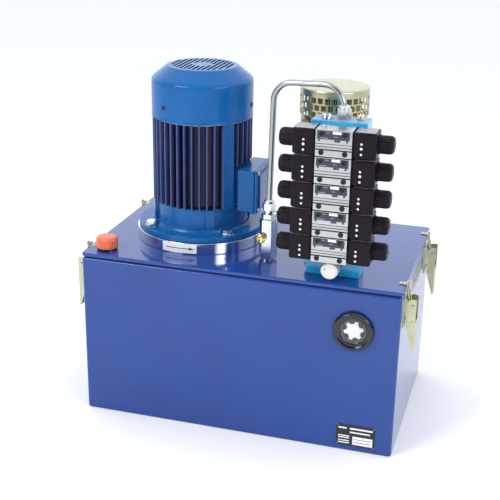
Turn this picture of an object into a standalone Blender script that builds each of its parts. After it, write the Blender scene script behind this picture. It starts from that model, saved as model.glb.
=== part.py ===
"""Hydraulic power unit: an oil tank with a latched lid, a flange-mounted electric motor that drives a gear
pump hanging in the tank, and a manifold that carries five double-solenoid valves.

Metres, +Z up. The origin is the centre of the tank's underside and the front is -Y.
"""

import math

import bmesh
import bpy
from mathutils import Matrix, Vector

GAP = 0.0003  # clearance between pieces that touch

# Tank, gasket and lid
LID_WIDTH, LID_DEPTH = 0.600, 0.358
LID_TOP, LID_THICK = 0.324, 0.007
GASKET_THICK = 0.005
RIM_THICK, RIM_REACH = 0.006, 0.015
WALL, FLOOR_THICK = 0.003, 0.004
CORNER = 0.006
LID_BOTTOM = LID_TOP - LID_THICK
RIM_TOP = LID_BOTTOM - GASKET_THICK
RIM_BOTTOM = RIM_TOP - RIM_THICK
WALL_X, WALL_Y = LID_WIDTH / 2, LID_DEPTH / 2
ON_LID = LID_TOP + GAP

# Sight glass on the front wall
SIGHT_X, SIGHT_Z = 0.2190, 0.2417
SIGHT_RADIUS, SIGHT_STEM, SIGHT_BORE, SIGHT_WINDOW = 0.0370, 0.0250, 0.0195, 0.0238

# Motor, pump and coupling share one upright axis
MOTOR_X, MOTOR_Y = -0.1232, 0.0
BELL_RADIUS, BELL_TUBE, BELL_WALL = 0.1257, 0.080, 0.006
BELL_TOP, BELL_BOTTOM, BELL_PLATE, BELL_BORE = 0.3455, 0.2050, 0.008, 0.026
BELL_WINDOW_HALF, BELL_WINDOW_Z0, BELL_WINDOW_Z1 = 0.028, 0.2250, 0.2850
FLANGE_RADIUS, FLANGE_THICK = 0.1227, 0.0100
FLANGE_BOTTOM = BELL_TOP + GAP
FLANGE_STEP, STEP_OUTER, STEP_INNER = 0.0055, 0.0979, 0.0954
SHIELD_RADIUS, SHIELD_BORE, SHIELD_FLOOR = 0.0874, 0.0760, 0.0100
LUG_ANGLE, LUG_HALF, LUG_OUTER, LUG_INNER = 28, 0.0090, 0.0938, 0.0800
FIN_RADIUS, FIN_ROOT, FIN_THICK = 0.0946, 0.0785, 0.0032
FIRST_FIN, FIN_PITCH, FIN_COUNT = 57.2, 8.77, 29  # degrees from the terminal box's side
BOX_FIN_PITCH, BOX_FINS = 9, range(-3, 4)  # the short fins above the terminal box
PAD_ANGLE, PAD_WIDTH = 39.9, 0.0225
FRAME_BORE = 0.0740
FINS_BOTTOM, FINS_TOP = 0.3995, 0.5600
COWL_RADIUS, COWL_BOTTOM, COWL_TOP, COWL_WALL = 0.0955, 0.5615, 0.6555, 0.0015
SHOULDER_OUTSIDE = ((0.0660, COWL_TOP), (0.0815, 0.6480), (0.0915, 0.6380), (COWL_RADIUS, 0.6240))
SHOULDER_INSIDE = ((0.0654, COWL_TOP - COWL_WALL), (0.0805, 0.6467), (0.0903, 0.6370),
                   (COWL_RADIUS - COWL_WALL, 0.6236))
GRILLE_RADIUS, GRILLE_SLOTS, SLOT_PITCH, SLOT_WIDTH = 0.0610, 13, 0.0088, 0.0046
GRILLE_MARGIN, GRILLE_BLANK = 0.0040, 0.0200
SHAFT_RADIUS, SHAFT_BOTTOM, SHAFT_TOP, FAN_SHAFT = 0.0140, 0.2815, 0.5815, 0.0110
SEAL_BORE, REAR_RADIUS = SHAFT_RADIUS + 0.001, 0.0930
STATOR_BORE, STATOR_Z0, STATOR_Z1 = 0.0500, 0.4110, 0.5435
ROTOR_RADIUS, ROTOR_Z0, ROTOR_Z1 = 0.0492, 0.4190, 0.5355
FAN_HUB, FAN_RADIUS, FAN_Z0, FAN_DISC_Z0, FAN_DISC_Z1, FAN_Z1 = 0.0200, 0.0840, 0.5835, 0.5935, 0.5965, 0.6195
FAN_BLADES, BLADE_HALF = 8, 0.0012

# Terminal box on the motor's right side, joined to the frame by a narrower neck
BOX_BACK_X, BOX_OUTER_X, BOX_LID_X = -0.0377, -0.0045, 0.0055
BOX_HALF_Y, NECK_HALF_Y = 0.050, 0.040
BOX_Z0, BOX_Z1, BOX_FLOOR_Z = 0.3924, 0.4732, 0.4030
BOX_WALL, BOX_BACK_WALL, BOX_LID_WALL, BOX_CLEAR = 0.006, 0.004, 0.003, 0.006
BOX_FOOT_RADIUS = 0.0948  # the box's foot is cut round to clear the flange's lugs

# Jaw coupling
HUB_RADIUS, JAW_OUTER, JAW_INNER, JAW_HALF_ANGLE = 0.0310, 0.0308, 0.0140, 15
MOTOR_HUB_Z0, MOTOR_HUB_Z1, MOTOR_JAW_Z0 = 0.2760, 0.3300, 0.2500
PUMP_HUB_Z0, PUMP_HUB_Z1, PUMP_JAW_Z1 = 0.2180, 0.2475, 0.2735
JAW_ROOT = 0.001

# Gear pump
GEAR_TEETH, GEAR_TIP, GEAR_ROOT, GEAR_CENTRES = 10, 0.0198, 0.0138, 0.0340
PUMP_SHAFT = 0.0080
PUMP_BODY_X, PUMP_END_Y = 0.042, 0.036
COVER_BOTTOM, COVER_TOP = 0.1300, 0.1500
PUMP_TOP = BELL_BOTTOM - GAP
GEAR_Z0, GEAR_Z1, GEAR_ROOM, GEAR_ROOM_TOP = COVER_TOP + 0.0005, 0.1780, 0.0006, 0.1785
SHAFT_END, DRIVE_TOP, IDLER_TOP, IDLER_BORE_TOP = COVER_BOTTOM + 0.0045, 0.2465, 0.1965, 0.1980
PORT_Z, PORT_RADIUS, PORT_DEPTH = 0.1650, 0.0055, 0.0150
PASSAGE_X0, PASSAGE_X1, PASSAGE_HALF = -0.0290, 0.0200, 0.0070
SUCTION_X, SUCTION_BORE = -0.0220, 0.0070
CAN_RADIUS, CAN_BOTTOM, CAN_TOP, CAN_FLOOR, NECK_OUTER = 0.0320, 0.0250, 0.1000, 0.0050, 0.0110
PIPE_RADIUS, PIPE_BEND = 0.0060, 0.0280

# Check valve and pressure tube
CHECK_X, CHECK_Y = 0.0373, -0.0954
CHECK_FLATS, CHECK_TOP, CHECK_HOLE = 0.030, 0.4029, 0.0080
NIPPLE_FLATS, NIPPLE_HEIGHT = 0.0240, 0.0160
TUBE_RADIUS, TUBE_TOP, TUBE_BEND = 0.0053, 0.6572, 0.0360
TUBE_END_X, TUBE_END_Y = 0.1712, -0.1165
TUBE_LEAN, TUBE_DIP, TUBE_RISE = 0.0043, 0.0040, 0.0030
NUT_FLATS, LOWER_NUT, UPPER_NUT = 0.0220, 0.0197, 0.0233

# Manifold and its valves
MANIFOLD_X0, MANIFOLD_X1 = 0.1195, 0.2165
MANIFOLD_Y0, MANIFOLD_Y1 = -0.1405, -0.0955
MANIFOLD_TOP = 0.6032
VALVE_COUNT, VALVE_PITCH = 5, 0.0470
VALVE_X, VALVE_AXIS_Y, VALVE_FIRST_Z = 0.1692, -0.1600, 0.3878
VALVE_HALF, VALVE_FRONT_Y, VALVE_HEIGHT = 0.0310, -0.1859, 0.0457
COIL_END, NUT_END, COIL_HALF_Z = 0.0713, 0.0979, 0.0222
COIL_FRONT_Y, COIL_BACK_Y = -0.1840, -0.1420
NUT_RADIUS = 0.0155
SPOOL_BORE, SPOOL_RADIUS = 0.0083, 0.0080
ARMATURE_BORE, ARMATURE_RADIUS = 0.0066, 0.0062
PIN_BORE, PIN_RADIUS, PIN_END = 0.0024, 0.0020, 0.0946
LAND_X0, LAND_X1, SPOOL_CORE, SPOOL_STEM = 0.0120, 0.0260, 0.0045, 0.0025
ARMATURE_X0, ARMATURE_X1, ARMATURE_ROOM = 0.0540, 0.0816, 0.0866

# Relief valve at the manifold's foot
RELIEF_X, RELIEF_Z = 0.1689, 0.3453
KNOB_RADIUS, KNOB_BACK_Y, KNOB_FRONT_Y = 0.0155, -0.1510, -0.1745
RELIEF_STEM, RELIEF_FLATS = 0.0050, 0.0240

# Filler
FILLER_X, FILLER_Y = -0.2627, -0.1440
NECK_RADIUS, NECK_BORE = 0.0142, 0.0120
NECK_FLANGE, NECK_BOTTOM, NECK_TOP = 0.0190, 0.3030, 0.3350
CAP_RADIUS, CAP_BOTTOM, CAP_TOP, CAP_INSIDE, CAP_EDGE = 0.0203, 0.3280, 0.3495, 0.3370, 0.0025

# Breather
BREATHER_X, BREATHER_Y = 0.1189, 0.0500
RISER_RADIUS, RISER_BORE, RISER_FOOT, FOOT_THICK = 0.0170, 0.0140, 0.0350, 0.0080
PLATE_RADIUS, PLATE_THICK = 0.0625, 0.0040
ELEMENT_BORE, ELEMENT_RADIUS, ELEMENT_SPACE = 0.0300, 0.0500, 0.0120
GUARD_RADIUS, GUARD_BOTTOM, GUARD_TOP, GUARD_WALL = 0.0642, 0.5495, 0.6265, 0.0012
GUARD_LOWER, GUARD_STEP = 0.0617, 0.5715

# Toggle latches: the lever turns on the bracket at the pivot, the bail turns in the lever
LATCH_Y = 0.135
PIVOT_X, PIVOT_Z, EAR_RADIUS = 0.3155, 0.2895, 0.0052
BAIL_OUT, BAIL_DOWN = 0.0008, 0.0300
HOOK_X, HOOK_Z = 0.3012, 0.3275
LEVER_HALF, SHEET = 0.0140, 0.0015
LEVER_OUT, LEVER_IN, LEVER_CROWN = 0.0060, 0.0105, 0.0122
LEVER_STRAIGHT, LEVER_TIP = 0.0400, 0.0870
WIRE_RADIUS, WIRE_HALF = 0.0014, 0.0085
KEEPER_HALF, KEEPER_TOP, KEEPER_IN_X = 0.0060, 0.3256, 0.2875
KEEPER_LIP_TOP, KEEPER_LIP_GAP = 0.3304, 0.0021


# ---- Mesh helpers ----------------------------------------------------------------------------------------

def mesh_of(bm):
    """Mesh of a closed bmesh, with its faces pointing out."""
    bmesh.ops.recalc_face_normals(bm, faces=bm.faces)
    mesh = bpy.data.meshes.new("shape")
    bm.to_mesh(mesh)
    bm.free()
    return mesh


def block(x0, x1, y0, y1, z0, z1):
    """Rectangular block between two corners."""
    bm = bmesh.new()
    size = Vector((x1 - x0, y1 - y0, z1 - z0))
    centre = Vector((x0 + x1, y0 + y1, z0 + z1)) / 2
    bmesh.ops.create_cube(bm, size=1, matrix=Matrix.Translation(centre) @ Matrix.Diagonal(size.to_4d()))
    return mesh_of(bm)


def turned(profile, steps):
    """Solid of revolution about Z. A profile of (radius, height) that starts and ends on the axis makes a
    solid with flat ends, and any other profile is closed into a ring."""
    bm = bmesh.new()
    verts = [bm.verts.new((radius, 0, height)) for radius, height in profile]
    edges = [bm.edges.new(pair) for pair in zip(verts, verts[1:])]
    if profile[0][0] > 0:
        edges.append(bm.edges.new((verts[-1], verts[0])))
    bmesh.ops.spin(bm, geom=verts + edges, cent=(0, 0, 0), axis=(0, 0, 1), angle=math.tau, steps=steps,
                   use_merge=True)
    bmesh.ops.remove_doubles(bm, verts=bm.verts, dist=1e-6)
    poles = [vert for vert in bm.verts if vert.co.xy.length < 1e-6]
    bmesh.ops.dissolve_verts(bm, verts=poles)
    return mesh_of(bm)


def rod(radius, z0, z1, steps=16, x=0, y=0):
    """Upright cylinder."""
    mesh = turned([(0, z0), (radius, z0), (radius, z1), (0, z1)], steps)
    mesh.transform(Matrix.Translation((x, y, 0)))
    return mesh


def prism(outline, z0, z1):
    """Outline in XY, extruded from z0 to z1."""
    bm = bmesh.new()
    face = bm.faces.new([bm.verts.new((x, y, z0)) for x, y in outline])
    top = bmesh.ops.extrude_face_region(bm, geom=[face])["geom"]
    verts = [item for item in top if isinstance(item, bmesh.types.BMVert)]
    bmesh.ops.translate(bm, verts=verts, vec=(0, 0, z1 - z0))
    return mesh_of(bm)


def side_prism(outline, y0, y1):
    """Outline in XZ, extruded from y0 to y1."""
    mesh = prism(outline, -y1, -y0)
    mesh.transform(Matrix.Rotation(math.radians(90), 4, "X"))
    return mesh


def hexagon(flats):
    """Hexagon outline with flats facing +Y and -Y."""
    radius = flats / math.sqrt(3)
    return [(radius * math.cos(math.radians(60 * k)), radius * math.sin(math.radians(60 * k)))
            for k in range(6)]


def rounded_loops(loops, ring):
    """Skin through rectangular loops (half width, half depth, height, corner radius). A ring joins the last
    loop to the first, anything else is capped at both ends."""
    bm = bmesh.new()
    rows = []
    for half_x, half_y, z, radius in loops:
        row = []
        for corner, (sx, sy) in enumerate(((1, 1), (-1, 1), (-1, -1), (1, -1))):
            for step in range(4):
                angle = math.radians(90 * corner + 30 * step)
                x = sx * (half_x - radius) + radius * math.cos(angle)
                y = sy * (half_y - radius) + radius * math.sin(angle)
                row.append(bm.verts.new((x, y, z)))
        rows.append(row)
    pairs = list(zip(rows, rows[1:]))
    if ring:
        pairs.append((rows[-1], rows[0]))
    else:
        bm.faces.new(rows[0])
        bm.faces.new(rows[-1])
    for low, high in pairs:
        for k in range(len(low)):
            after = (k + 1) % len(low)
            bm.faces.new((low[k], low[after], high[after], high[k]))
    return mesh_of(bm)


def rounded_path(points, radius, steps):
    """Points of a path whose inner corners are replaced by arcs."""
    path = [Vector(points[0])]
    for before, corner, after in zip(points, points[1:], points[2:]):
        corner = Vector(corner)
        back = (Vector(before) - corner).normalized()
        ahead = (Vector(after) - corner).normalized()
        half = back.angle(ahead) / 2
        centre = corner + (back + ahead).normalized() * radius / math.sin(half)
        start = corner + back * radius / math.tan(half) - centre
        axis = start.cross(corner + ahead * radius / math.tan(half) - centre)
        sweep = math.pi - 2 * half
        for step in range(steps + 1):
            path.append(centre + Matrix.Rotation(sweep * step / steps, 3, axis) @ start)
    path.append(Vector(points[-1]))
    return path


def wire_curve(path, radius, resolution):
    """Round wire along a path, with filled ends."""
    curve = bpy.data.curves.new("wire", "CURVE")
    curve.dimensions = "3D"
    curve.bevel_depth = radius
    curve.bevel_resolution = resolution
    curve.use_fill_caps = True
    spline = curve.splines.new("POLY")
    spline.points.add(len(path) - 1)
    for point, place in zip(spline.points, path):
        point.co = (*place, 1)
    return curve


def evaluated_mesh(obj):
    """Mesh of an object with its modifiers or its bevel, welded where the ends are capped."""
    scene = bpy.context.scene
    scene.collection.objects.link(obj)
    depsgraph = bpy.context.evaluated_depsgraph_get()
    depsgraph.update()
    mesh = bpy.data.meshes.new_from_object(obj.evaluated_get(depsgraph))
    bm = bmesh.new()
    bm.from_mesh(mesh)
    bmesh.ops.remove_doubles(bm, verts=bm.verts, dist=1e-7)
    bm.to_mesh(mesh)
    bm.free()
    bpy.data.objects.remove(obj)
    return mesh


def shaped(base, joined=(), cut=()):
    """Mesh of a base with other closed meshes joined to it and then cut from it."""
    body = bpy.data.objects.new("body", base)
    tools = []
    for operation, meshes in (("UNION", joined), ("DIFFERENCE", cut)):
        for mesh in meshes:
            tool = bpy.data.objects.new("tool", mesh)
            bpy.context.scene.collection.objects.link(tool)
            tools.append(tool)
            modifier = body.modifiers.new(operation, "BOOLEAN")
            modifier.operation = operation
            modifier.solver = "EXACT"
            modifier.object = tool
    mesh = evaluated_mesh(body)
    for tool in tools:
        bpy.data.objects.remove(tool)
    return mesh


def moved(mesh, x=0, y=0, z=0):
    mesh.transform(Matrix.Translation((x, y, z)))
    return mesh


def along_x(mesh, side=1):
    """Turns a shape that was made along +Z to point along +X, or along -X where side is -1."""
    mesh.transform(Matrix.Rotation(side * math.radians(90), 4, "Y"))
    return mesh


def along_front(mesh):
    """Turns a shape that was made along +Z to point along -Y."""
    mesh.transform(Matrix.Rotation(math.radians(90), 4, "X"))
    return mesh


# ---- Materials and placing -------------------------------------------------------------------------------

def material(name, colour, roughness, metallic):
    made = bpy.data.materials.new(name)
    made.use_nodes = True
    made.diffuse_color = (*colour, 1)
    shader = made.node_tree.nodes["Principled BSDF"]
    shader.inputs["Base Color"].default_value = (*colour, 1)
    shader.inputs["Roughness"].default_value = roughness
    shader.inputs["Metallic"].default_value = metallic
    return made


def make_materials():
    return {
        "tank_paint": material("tank_paint", (0.035, 0.065, 0.38), 0.15, 0),
        "motor_paint": material("motor_paint", (0.020, 0.110, 0.40), 0.30, 0),
        "manifold_paint": material("manifold_paint", (0.015, 0.220, 0.52), 0.30, 0),
        "polished": material("polished", (0.62, 0.64, 0.68), 0.12, 1),
        "aluminium": material("aluminium", (0.58, 0.58, 0.60), 0.40, 1),
        "steel": material("steel", (0.45, 0.46, 0.48), 0.35, 1),
        "zinc": material("zinc", (0.72, 0.74, 0.74), 0.28, 1),
        "yellow_zinc": material("yellow_zinc", (0.80, 0.72, 0.38), 0.32, 1),
        "cast_iron": material("cast_iron", (0.10, 0.10, 0.11), 0.65, 0.6),
        "copper": material("copper", (0.60, 0.28, 0.14), 0.45, 1),
        "black_plastic": material("black_plastic", (0.018, 0.018, 0.024), 0.45, 0),
        "red_plastic": material("red_plastic", (0.80, 0.12, 0.05), 0.40, 0),
        "white_knob": material("white_knob", (0.80, 0.80, 0.80), 0.35, 0.3),
        "rubber": material("rubber", (0.012, 0.012, 0.014), 0.80, 0),
        "glass": material("glass", (0.75, 0.85, 0.85), 0.05, 0),
        "filter_paper": material("filter_paper", (0.55, 0.47, 0.30), 0.90, 0),
    }


def place(name, data, finish, location=(0, 0, 0)):
    """Adds a node at its origin, shaded smooth except at its edges."""
    if isinstance(data, bpy.types.Mesh):
        data.shade_smooth()
        data.set_sharp_from_angle(angle=math.radians(35))
    if finish.name not in data.materials:
        data.materials.clear()
        data.materials.append(finish)
    obj = bpy.data.objects.new(name, data)
    obj.location = location
    bpy.context.scene.collection.objects.link(obj)
    return obj


# ---- Tank and lid ----------------------------------------------------------------------------------------

def latch_bracket(side, y):
    """Plate and two ears with rivet stubs, which carry one lever on a side wall."""
    wall = WALL_X
    root, back = wall - 0.001, wall - 0.0005
    plate = block(root, wall + 0.0016, -0.016, 0.016, PIVOT_Z - 0.043, PIVOT_Z + 0.013)
    ear = [(back, PIVOT_Z - 0.014)]
    for step in range(5):
        angle = math.radians(-90 + 45 * step)
        ear.append((PIVOT_X + EAR_RADIUS * math.cos(angle), PIVOT_Z + EAR_RADIUS * math.sin(angle)))
    ear.append((back, PIVOT_Z + 0.012))
    outer = LEVER_HALF - SHEET - GAP
    parts = []
    for hand in (-1, 1):
        ends = sorted((hand * (outer - 0.0014), hand * outer))
        parts.append(side_prism(ear, *ends))
        stub = along_front(rod(0.002, 0, 0.0045, 8))
        parts.append(moved(stub, PIVOT_X, hand * (outer + 0.0018) + 0.00225, PIVOT_Z))
    bracket = shaped(plate, parts)
    if side < 0:
        bracket.transform(Matrix.Diagonal((-1, 1, 1, 1)))
        bracket.flip_normals()
    return moved(bracket, y=y)


def latch_places():
    for side, side_name in ((1, "right"), (-1, "left")):
        for y, end_name in ((-LATCH_Y, "front"), (LATCH_Y, "rear")):
            yield side, y, end_name + "_" + side_name


def make_tank(finish):
    outer, inner = CORNER, CORNER - WALL
    shell = rounded_loops([
        (WALL_X, WALL_Y, 0, outer),
        (WALL_X, WALL_Y, RIM_TOP, outer),
        (WALL_X - RIM_REACH, WALL_Y - RIM_REACH, RIM_TOP, inner),
        (WALL_X - RIM_REACH, WALL_Y - RIM_REACH, RIM_BOTTOM, inner),
        (WALL_X - WALL, WALL_Y - WALL, RIM_BOTTOM, inner),
        (WALL_X - WALL, WALL_Y - WALL, FLOOR_THICK, inner),
    ], ring=False)
    brackets = [latch_bracket(side, y) for side, y, _ in latch_places()]
    sight_hole = moved(along_front(rod(SIGHT_STEM + 0.0005, -0.01, 0.01, 28)), SIGHT_X, -WALL_Y, SIGHT_Z)
    place("tank", shaped(shell, brackets, [sight_hole]), finish)


def make_gasket(finish):
    x, y = LID_WIDTH / 2 - 0.001, LID_DEPTH / 2 - 0.001
    low, high, width = RIM_TOP + GAP, LID_BOTTOM - GAP, RIM_REACH - 0.002
    place("lid_gasket", rounded_loops([
        (x, y, low, CORNER),
        (x, y, high, CORNER),
        (x - width, y - width, high, CORNER - WALL),
        (x - width, y - width, low, CORNER - WALL),
    ], ring=True), finish)


def latch_keeper(side, y):
    """Strap on the lid whose upturned lip holds the bail's bar."""
    lip, below = HOOK_X + WIRE_RADIUS + KEEPER_LIP_GAP, LID_TOP - 0.0005
    strap = [(KEEPER_IN_X, below), (lip + SHEET, below), (lip + SHEET, KEEPER_LIP_TOP),
             (lip, KEEPER_LIP_TOP), (lip, KEEPER_TOP), (KEEPER_IN_X, KEEPER_TOP)]
    return side_prism([(side * x, z) for x, z in strap], y - KEEPER_HALF, y + KEEPER_HALF)


def make_lid(finish):
    x, y = LID_WIDTH / 2, LID_DEPTH / 2
    plate = rounded_loops([(x, y, LID_BOTTOM, CORNER), (x, y, LID_TOP, CORNER)], ring=False)
    keepers = [latch_keeper(side, at) for side, at, _ in latch_places()]
    below, above = LID_BOTTOM - 0.01, LID_TOP + 0.01
    holes = [
        rod(BELL_TUBE + 0.0010, below, above, 40, MOTOR_X, MOTOR_Y),
        rod(NECK_RADIUS + 0.0005, below, above, 20, FILLER_X, FILLER_Y),
        rod(RISER_BORE, below, above, 20, BREATHER_X, BREATHER_Y),
        rod(CHECK_HOLE, below, above, 12, CHECK_X, CHECK_Y),
    ]
    place("lid", shaped(plate, keepers, holes), finish)


def make_sight_glass(body_finish, window_finish):
    """Both pieces are turned about an axis that points to the front, height 0 on the wall's face."""
    at = (SIGHT_X, -WALL_Y, SIGHT_Z)
    body = turned([
        (SIGHT_STEM, -0.012), (SIGHT_STEM, GAP), (SIGHT_RADIUS, GAP), (SIGHT_RADIUS, 0.0062),
        (SIGHT_RADIUS - 0.0030, 0.0092), (SIGHT_WINDOW, 0.0092), (SIGHT_WINDOW, 0.0020),
        (SIGHT_BORE, 0.0020), (SIGHT_BORE, -0.012),
    ], 28)
    window = turned([
        (0, 0.0023), (SIGHT_WINDOW - GAP, 0.0023), (SIGHT_WINDOW - GAP, 0.0066), (0, 0.0066),
    ], 28)
    place("sight_glass_body", along_front(body), body_finish, at)
    place("sight_glass_window", along_front(window), window_finish, at)


# ---- Motor -----------------------------------------------------------------------------------------------

def make_bellhousing(finish):
    inner = BELL_TUBE - BELL_WALL
    bell = turned([
        (BELL_BORE, BELL_BOTTOM), (BELL_TUBE, BELL_BOTTOM), (BELL_TUBE, ON_LID), (BELL_RADIUS, ON_LID),
        (BELL_RADIUS, BELL_TOP), (inner, BELL_TOP), (inner, BELL_BOTTOM + BELL_PLATE),
        (BELL_BORE, BELL_BOTTOM + BELL_PLATE),
    ], 40)
    window = block(-BELL_RADIUS, BELL_RADIUS, -BELL_WINDOW_HALF, BELL_WINDOW_HALF, BELL_WINDOW_Z0,
                   BELL_WINDOW_Z1)
    place("bellhousing", shaped(bell, cut=[window]), finish, (MOTOR_X, MOTOR_Y, 0))


def make_motor_flange(finish):
    """Drive-end shield with the mounting flange and four tie-bolt lugs."""
    top = FINS_BOTTOM - GAP
    face = FLANGE_BOTTOM + FLANGE_THICK
    step, floor = face + FLANGE_STEP, face + SHIELD_FLOOR
    shield = turned([
        (SEAL_BORE, FLANGE_BOTTOM), (FLANGE_RADIUS, FLANGE_BOTTOM), (FLANGE_RADIUS, face),
        (STEP_OUTER, face), (STEP_INNER, step), (SHIELD_RADIUS, step), (SHIELD_RADIUS, top),
        (SHIELD_BORE, top), (SHIELD_BORE, floor), (SEAL_BORE, floor),
    ], 40)
    lugs = []
    for quarter in range(4):
        lug = block(-LUG_HALF, LUG_HALF, -LUG_OUTER, -LUG_INNER, face - 0.001, top)
        lug.transform(Matrix.Rotation(math.radians(LUG_ANGLE + 90 * quarter), 4, "Z"))
        lugs.append(lug)
    place("motor_flange", shaped(shield, lugs), finish, (MOTOR_X, MOTOR_Y, 0))


def finned_outline():
    """Outline of the frame with radial fins. One fin on each side of the terminal box is a wide pad."""
    fins = [(BOX_FIN_PITCH * fin, FIN_THICK) for fin in BOX_FINS]
    fins.append((PAD_ANGLE, PAD_WIDTH))
    fins += [(FIRST_FIN + FIN_PITCH * fin, FIN_THICK) for fin in range(FIN_COUNT)]
    fins.append((360 - PAD_ANGLE, PAD_WIDTH))
    outline = []
    for middle, width in fins:
        for radius, side in ((FIN_ROOT, -1), (FIN_RADIUS, -1), (FIN_RADIUS, 1), (FIN_ROOT, 1)):
            angle = math.radians(middle) + side * width / 2 / radius
            outline.append((radius * math.cos(angle), radius * math.sin(angle)))
    return outline


def make_motor_housing(finish):
    """Finned frame with the terminal box, and no fins where the box stands."""
    x0, x1, y = BOX_BACK_X - MOTOR_X, BOX_OUTER_X - MOTOR_X, BOX_HALF_Y
    low, high = FINS_BOTTOM - 0.01, FINS_TOP + 0.01
    reach, rise = 0.2, 0.2 * math.tan(math.radians(30))
    beside = prism([(0, 0), (reach, -rise), (reach, rise)], low, BOX_Z1 + BOX_CLEAR)
    fins = shaped(prism(finned_outline(), FINS_BOTTOM, FINS_TOP),
                  cut=[shaped(beside, cut=[rod(FIN_ROOT, low - 0.01, high, 36)])])
    foot = rod(BOX_FOOT_RADIUS, BOX_Z0 - 0.01, FINS_BOTTOM, 40)
    box = shaped(block(x0, x1, -y, y, BOX_Z0, BOX_Z1), cut=[foot])
    neck = block(FIN_ROOT - 0.02, x0 + 0.002, -NECK_HALF_Y, NECK_HALF_Y, FINS_BOTTOM + 0.0005, BOX_Z1 - 0.003)
    room = block(x0 + BOX_BACK_WALL, x1 + 0.01, BOX_WALL - y, y - BOX_WALL, BOX_FLOOR_Z, BOX_Z1 - BOX_WALL)
    frame = shaped(fins, [neck, box], [rod(FRAME_BORE, low, high, 40), room])
    place("motor_housing", frame, finish, (MOTOR_X, MOTOR_Y, 0))


def make_terminal_box_lid(finish):
    x0, x1, y = BOX_OUTER_X + GAP, BOX_LID_X, BOX_HALF_Y
    lid = block(x0, x1, -y - 0.001, y + 0.001, BOX_Z0 - 0.001, BOX_Z1 + 0.001)
    hollow = block(x0 - 0.01, x1 - BOX_LID_WALL, BOX_WALL - y, y - BOX_WALL, BOX_FLOOR_Z, BOX_Z1 - BOX_WALL)
    place("terminal_box_lid", shaped(lid, cut=[hollow]), finish, (0, MOTOR_Y, 0))


def make_motor_rear_shield(finish):
    low = FINS_TOP + GAP
    shield = turned([
        (SEAL_BORE, low + 0.004), (FRAME_BORE - 0.004, low), (REAR_RADIUS, low),
        (REAR_RADIUS, low + 0.0100), (SEAL_BORE, low + 0.0140),
    ], 32)
    place("motor_rear_shield", shield, finish, (MOTOR_X, MOTOR_Y, 0))


def make_motor_inside(winding_finish, rotor_finish):
    core = FRAME_BORE - 0.0005
    stator = turned([(STATOR_BORE, STATOR_Z0), (core, STATOR_Z0), (core, STATOR_Z1),
                     (STATOR_BORE, STATOR_Z1)], 32)
    fan_end = FAN_Z1 + 0.002
    rotor = turned([
        (0, SHAFT_BOTTOM), (SHAFT_RADIUS, SHAFT_BOTTOM), (SHAFT_RADIUS, ROTOR_Z0), (ROTOR_RADIUS, ROTOR_Z0),
        (ROTOR_RADIUS, ROTOR_Z1), (SHAFT_RADIUS, ROTOR_Z1), (SHAFT_RADIUS, SHAFT_TOP), (FAN_SHAFT, SHAFT_TOP),
        (FAN_SHAFT, fan_end), (0, fan_end),
    ], 24)
    place("motor_stator", stator, winding_finish, (MOTOR_X, MOTOR_Y, 0))
    place("motor_rotor", rotor, rotor_finish, (MOTOR_X, MOTOR_Y, 0))


def make_fan(finish):
    """Disc and hub with straight blades."""
    bore = FAN_SHAFT + GAP
    disc = turned([(bore, FAN_Z0), (FAN_HUB, FAN_Z0), (FAN_HUB, FAN_DISC_Z0), (FAN_RADIUS, FAN_DISC_Z0),
                   (FAN_RADIUS, FAN_DISC_Z1), (FAN_HUB, FAN_DISC_Z1), (FAN_HUB, FAN_Z1), (bore, FAN_Z1)], 24)
    blades = []
    for blade in range(FAN_BLADES):
        plate = block(FAN_HUB - 0.002, FAN_RADIUS - 0.001, -BLADE_HALF, BLADE_HALF, FAN_DISC_Z1 - 0.001,
                      FAN_Z1 - 0.002)
        plate.transform(Matrix.Rotation(math.tau * blade / FAN_BLADES, 4, "Z"))
        blades.append(plate)
    place("fan", shaped(disc, blades), finish, (MOTOR_X, MOTOR_Y, 0))


def make_fan_cowl(finish):
    """Sheet cowl with a rounded shoulder and a flat grille of slots, blank in the middle."""
    inside = COWL_RADIUS - COWL_WALL
    shell = turned([(0, COWL_TOP), *SHOULDER_OUTSIDE, (COWL_RADIUS, COWL_BOTTOM), (inside, COWL_BOTTOM),
                    *reversed(SHOULDER_INSIDE), (0, COWL_TOP - COWL_WALL)], 40)
    slots = []
    for index in range(GRILLE_SLOTS):
        x = (index - (GRILLE_SLOTS - 1) / 2) * SLOT_PITCH
        reach = math.sqrt(GRILLE_RADIUS ** 2 - x ** 2) - GRILLE_MARGIN
        blank = math.sqrt(max(GRILLE_BLANK ** 2 - x ** 2, 0))
        spans = [(-reach, -blank), (blank, reach)] if blank else [(-reach, reach)]
        for y0, y1 in spans:
            x0, x1 = x - SLOT_WIDTH / 2, x + SLOT_WIDTH / 2
            slots.append(block(x0, x1, y0, y1, COWL_TOP - 0.01, COWL_TOP + 0.01))
    place("fan_cowl", shaped(shell, cut=slots), finish, (MOTOR_X, MOTOR_Y, 0))


# ---- Coupling and pump -----------------------------------------------------------------------------------

def jaws(z0, z1, turn):
    """Four coupling jaws, each an outline of a ring's sector."""
    pieces = []
    for quarter in range(4):
        outline = []
        for radius, steps in ((JAW_INNER, (-JAW_HALF_ANGLE, JAW_HALF_ANGLE)),
                              (JAW_OUTER, (JAW_HALF_ANGLE, 0, -JAW_HALF_ANGLE))):
            for step in steps:
                angle = math.radians(90 * quarter + turn + step)
                outline.append((radius * math.cos(angle), radius * math.sin(angle)))
        pieces.append(prism(outline, z0, z1))
    return pieces


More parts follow.
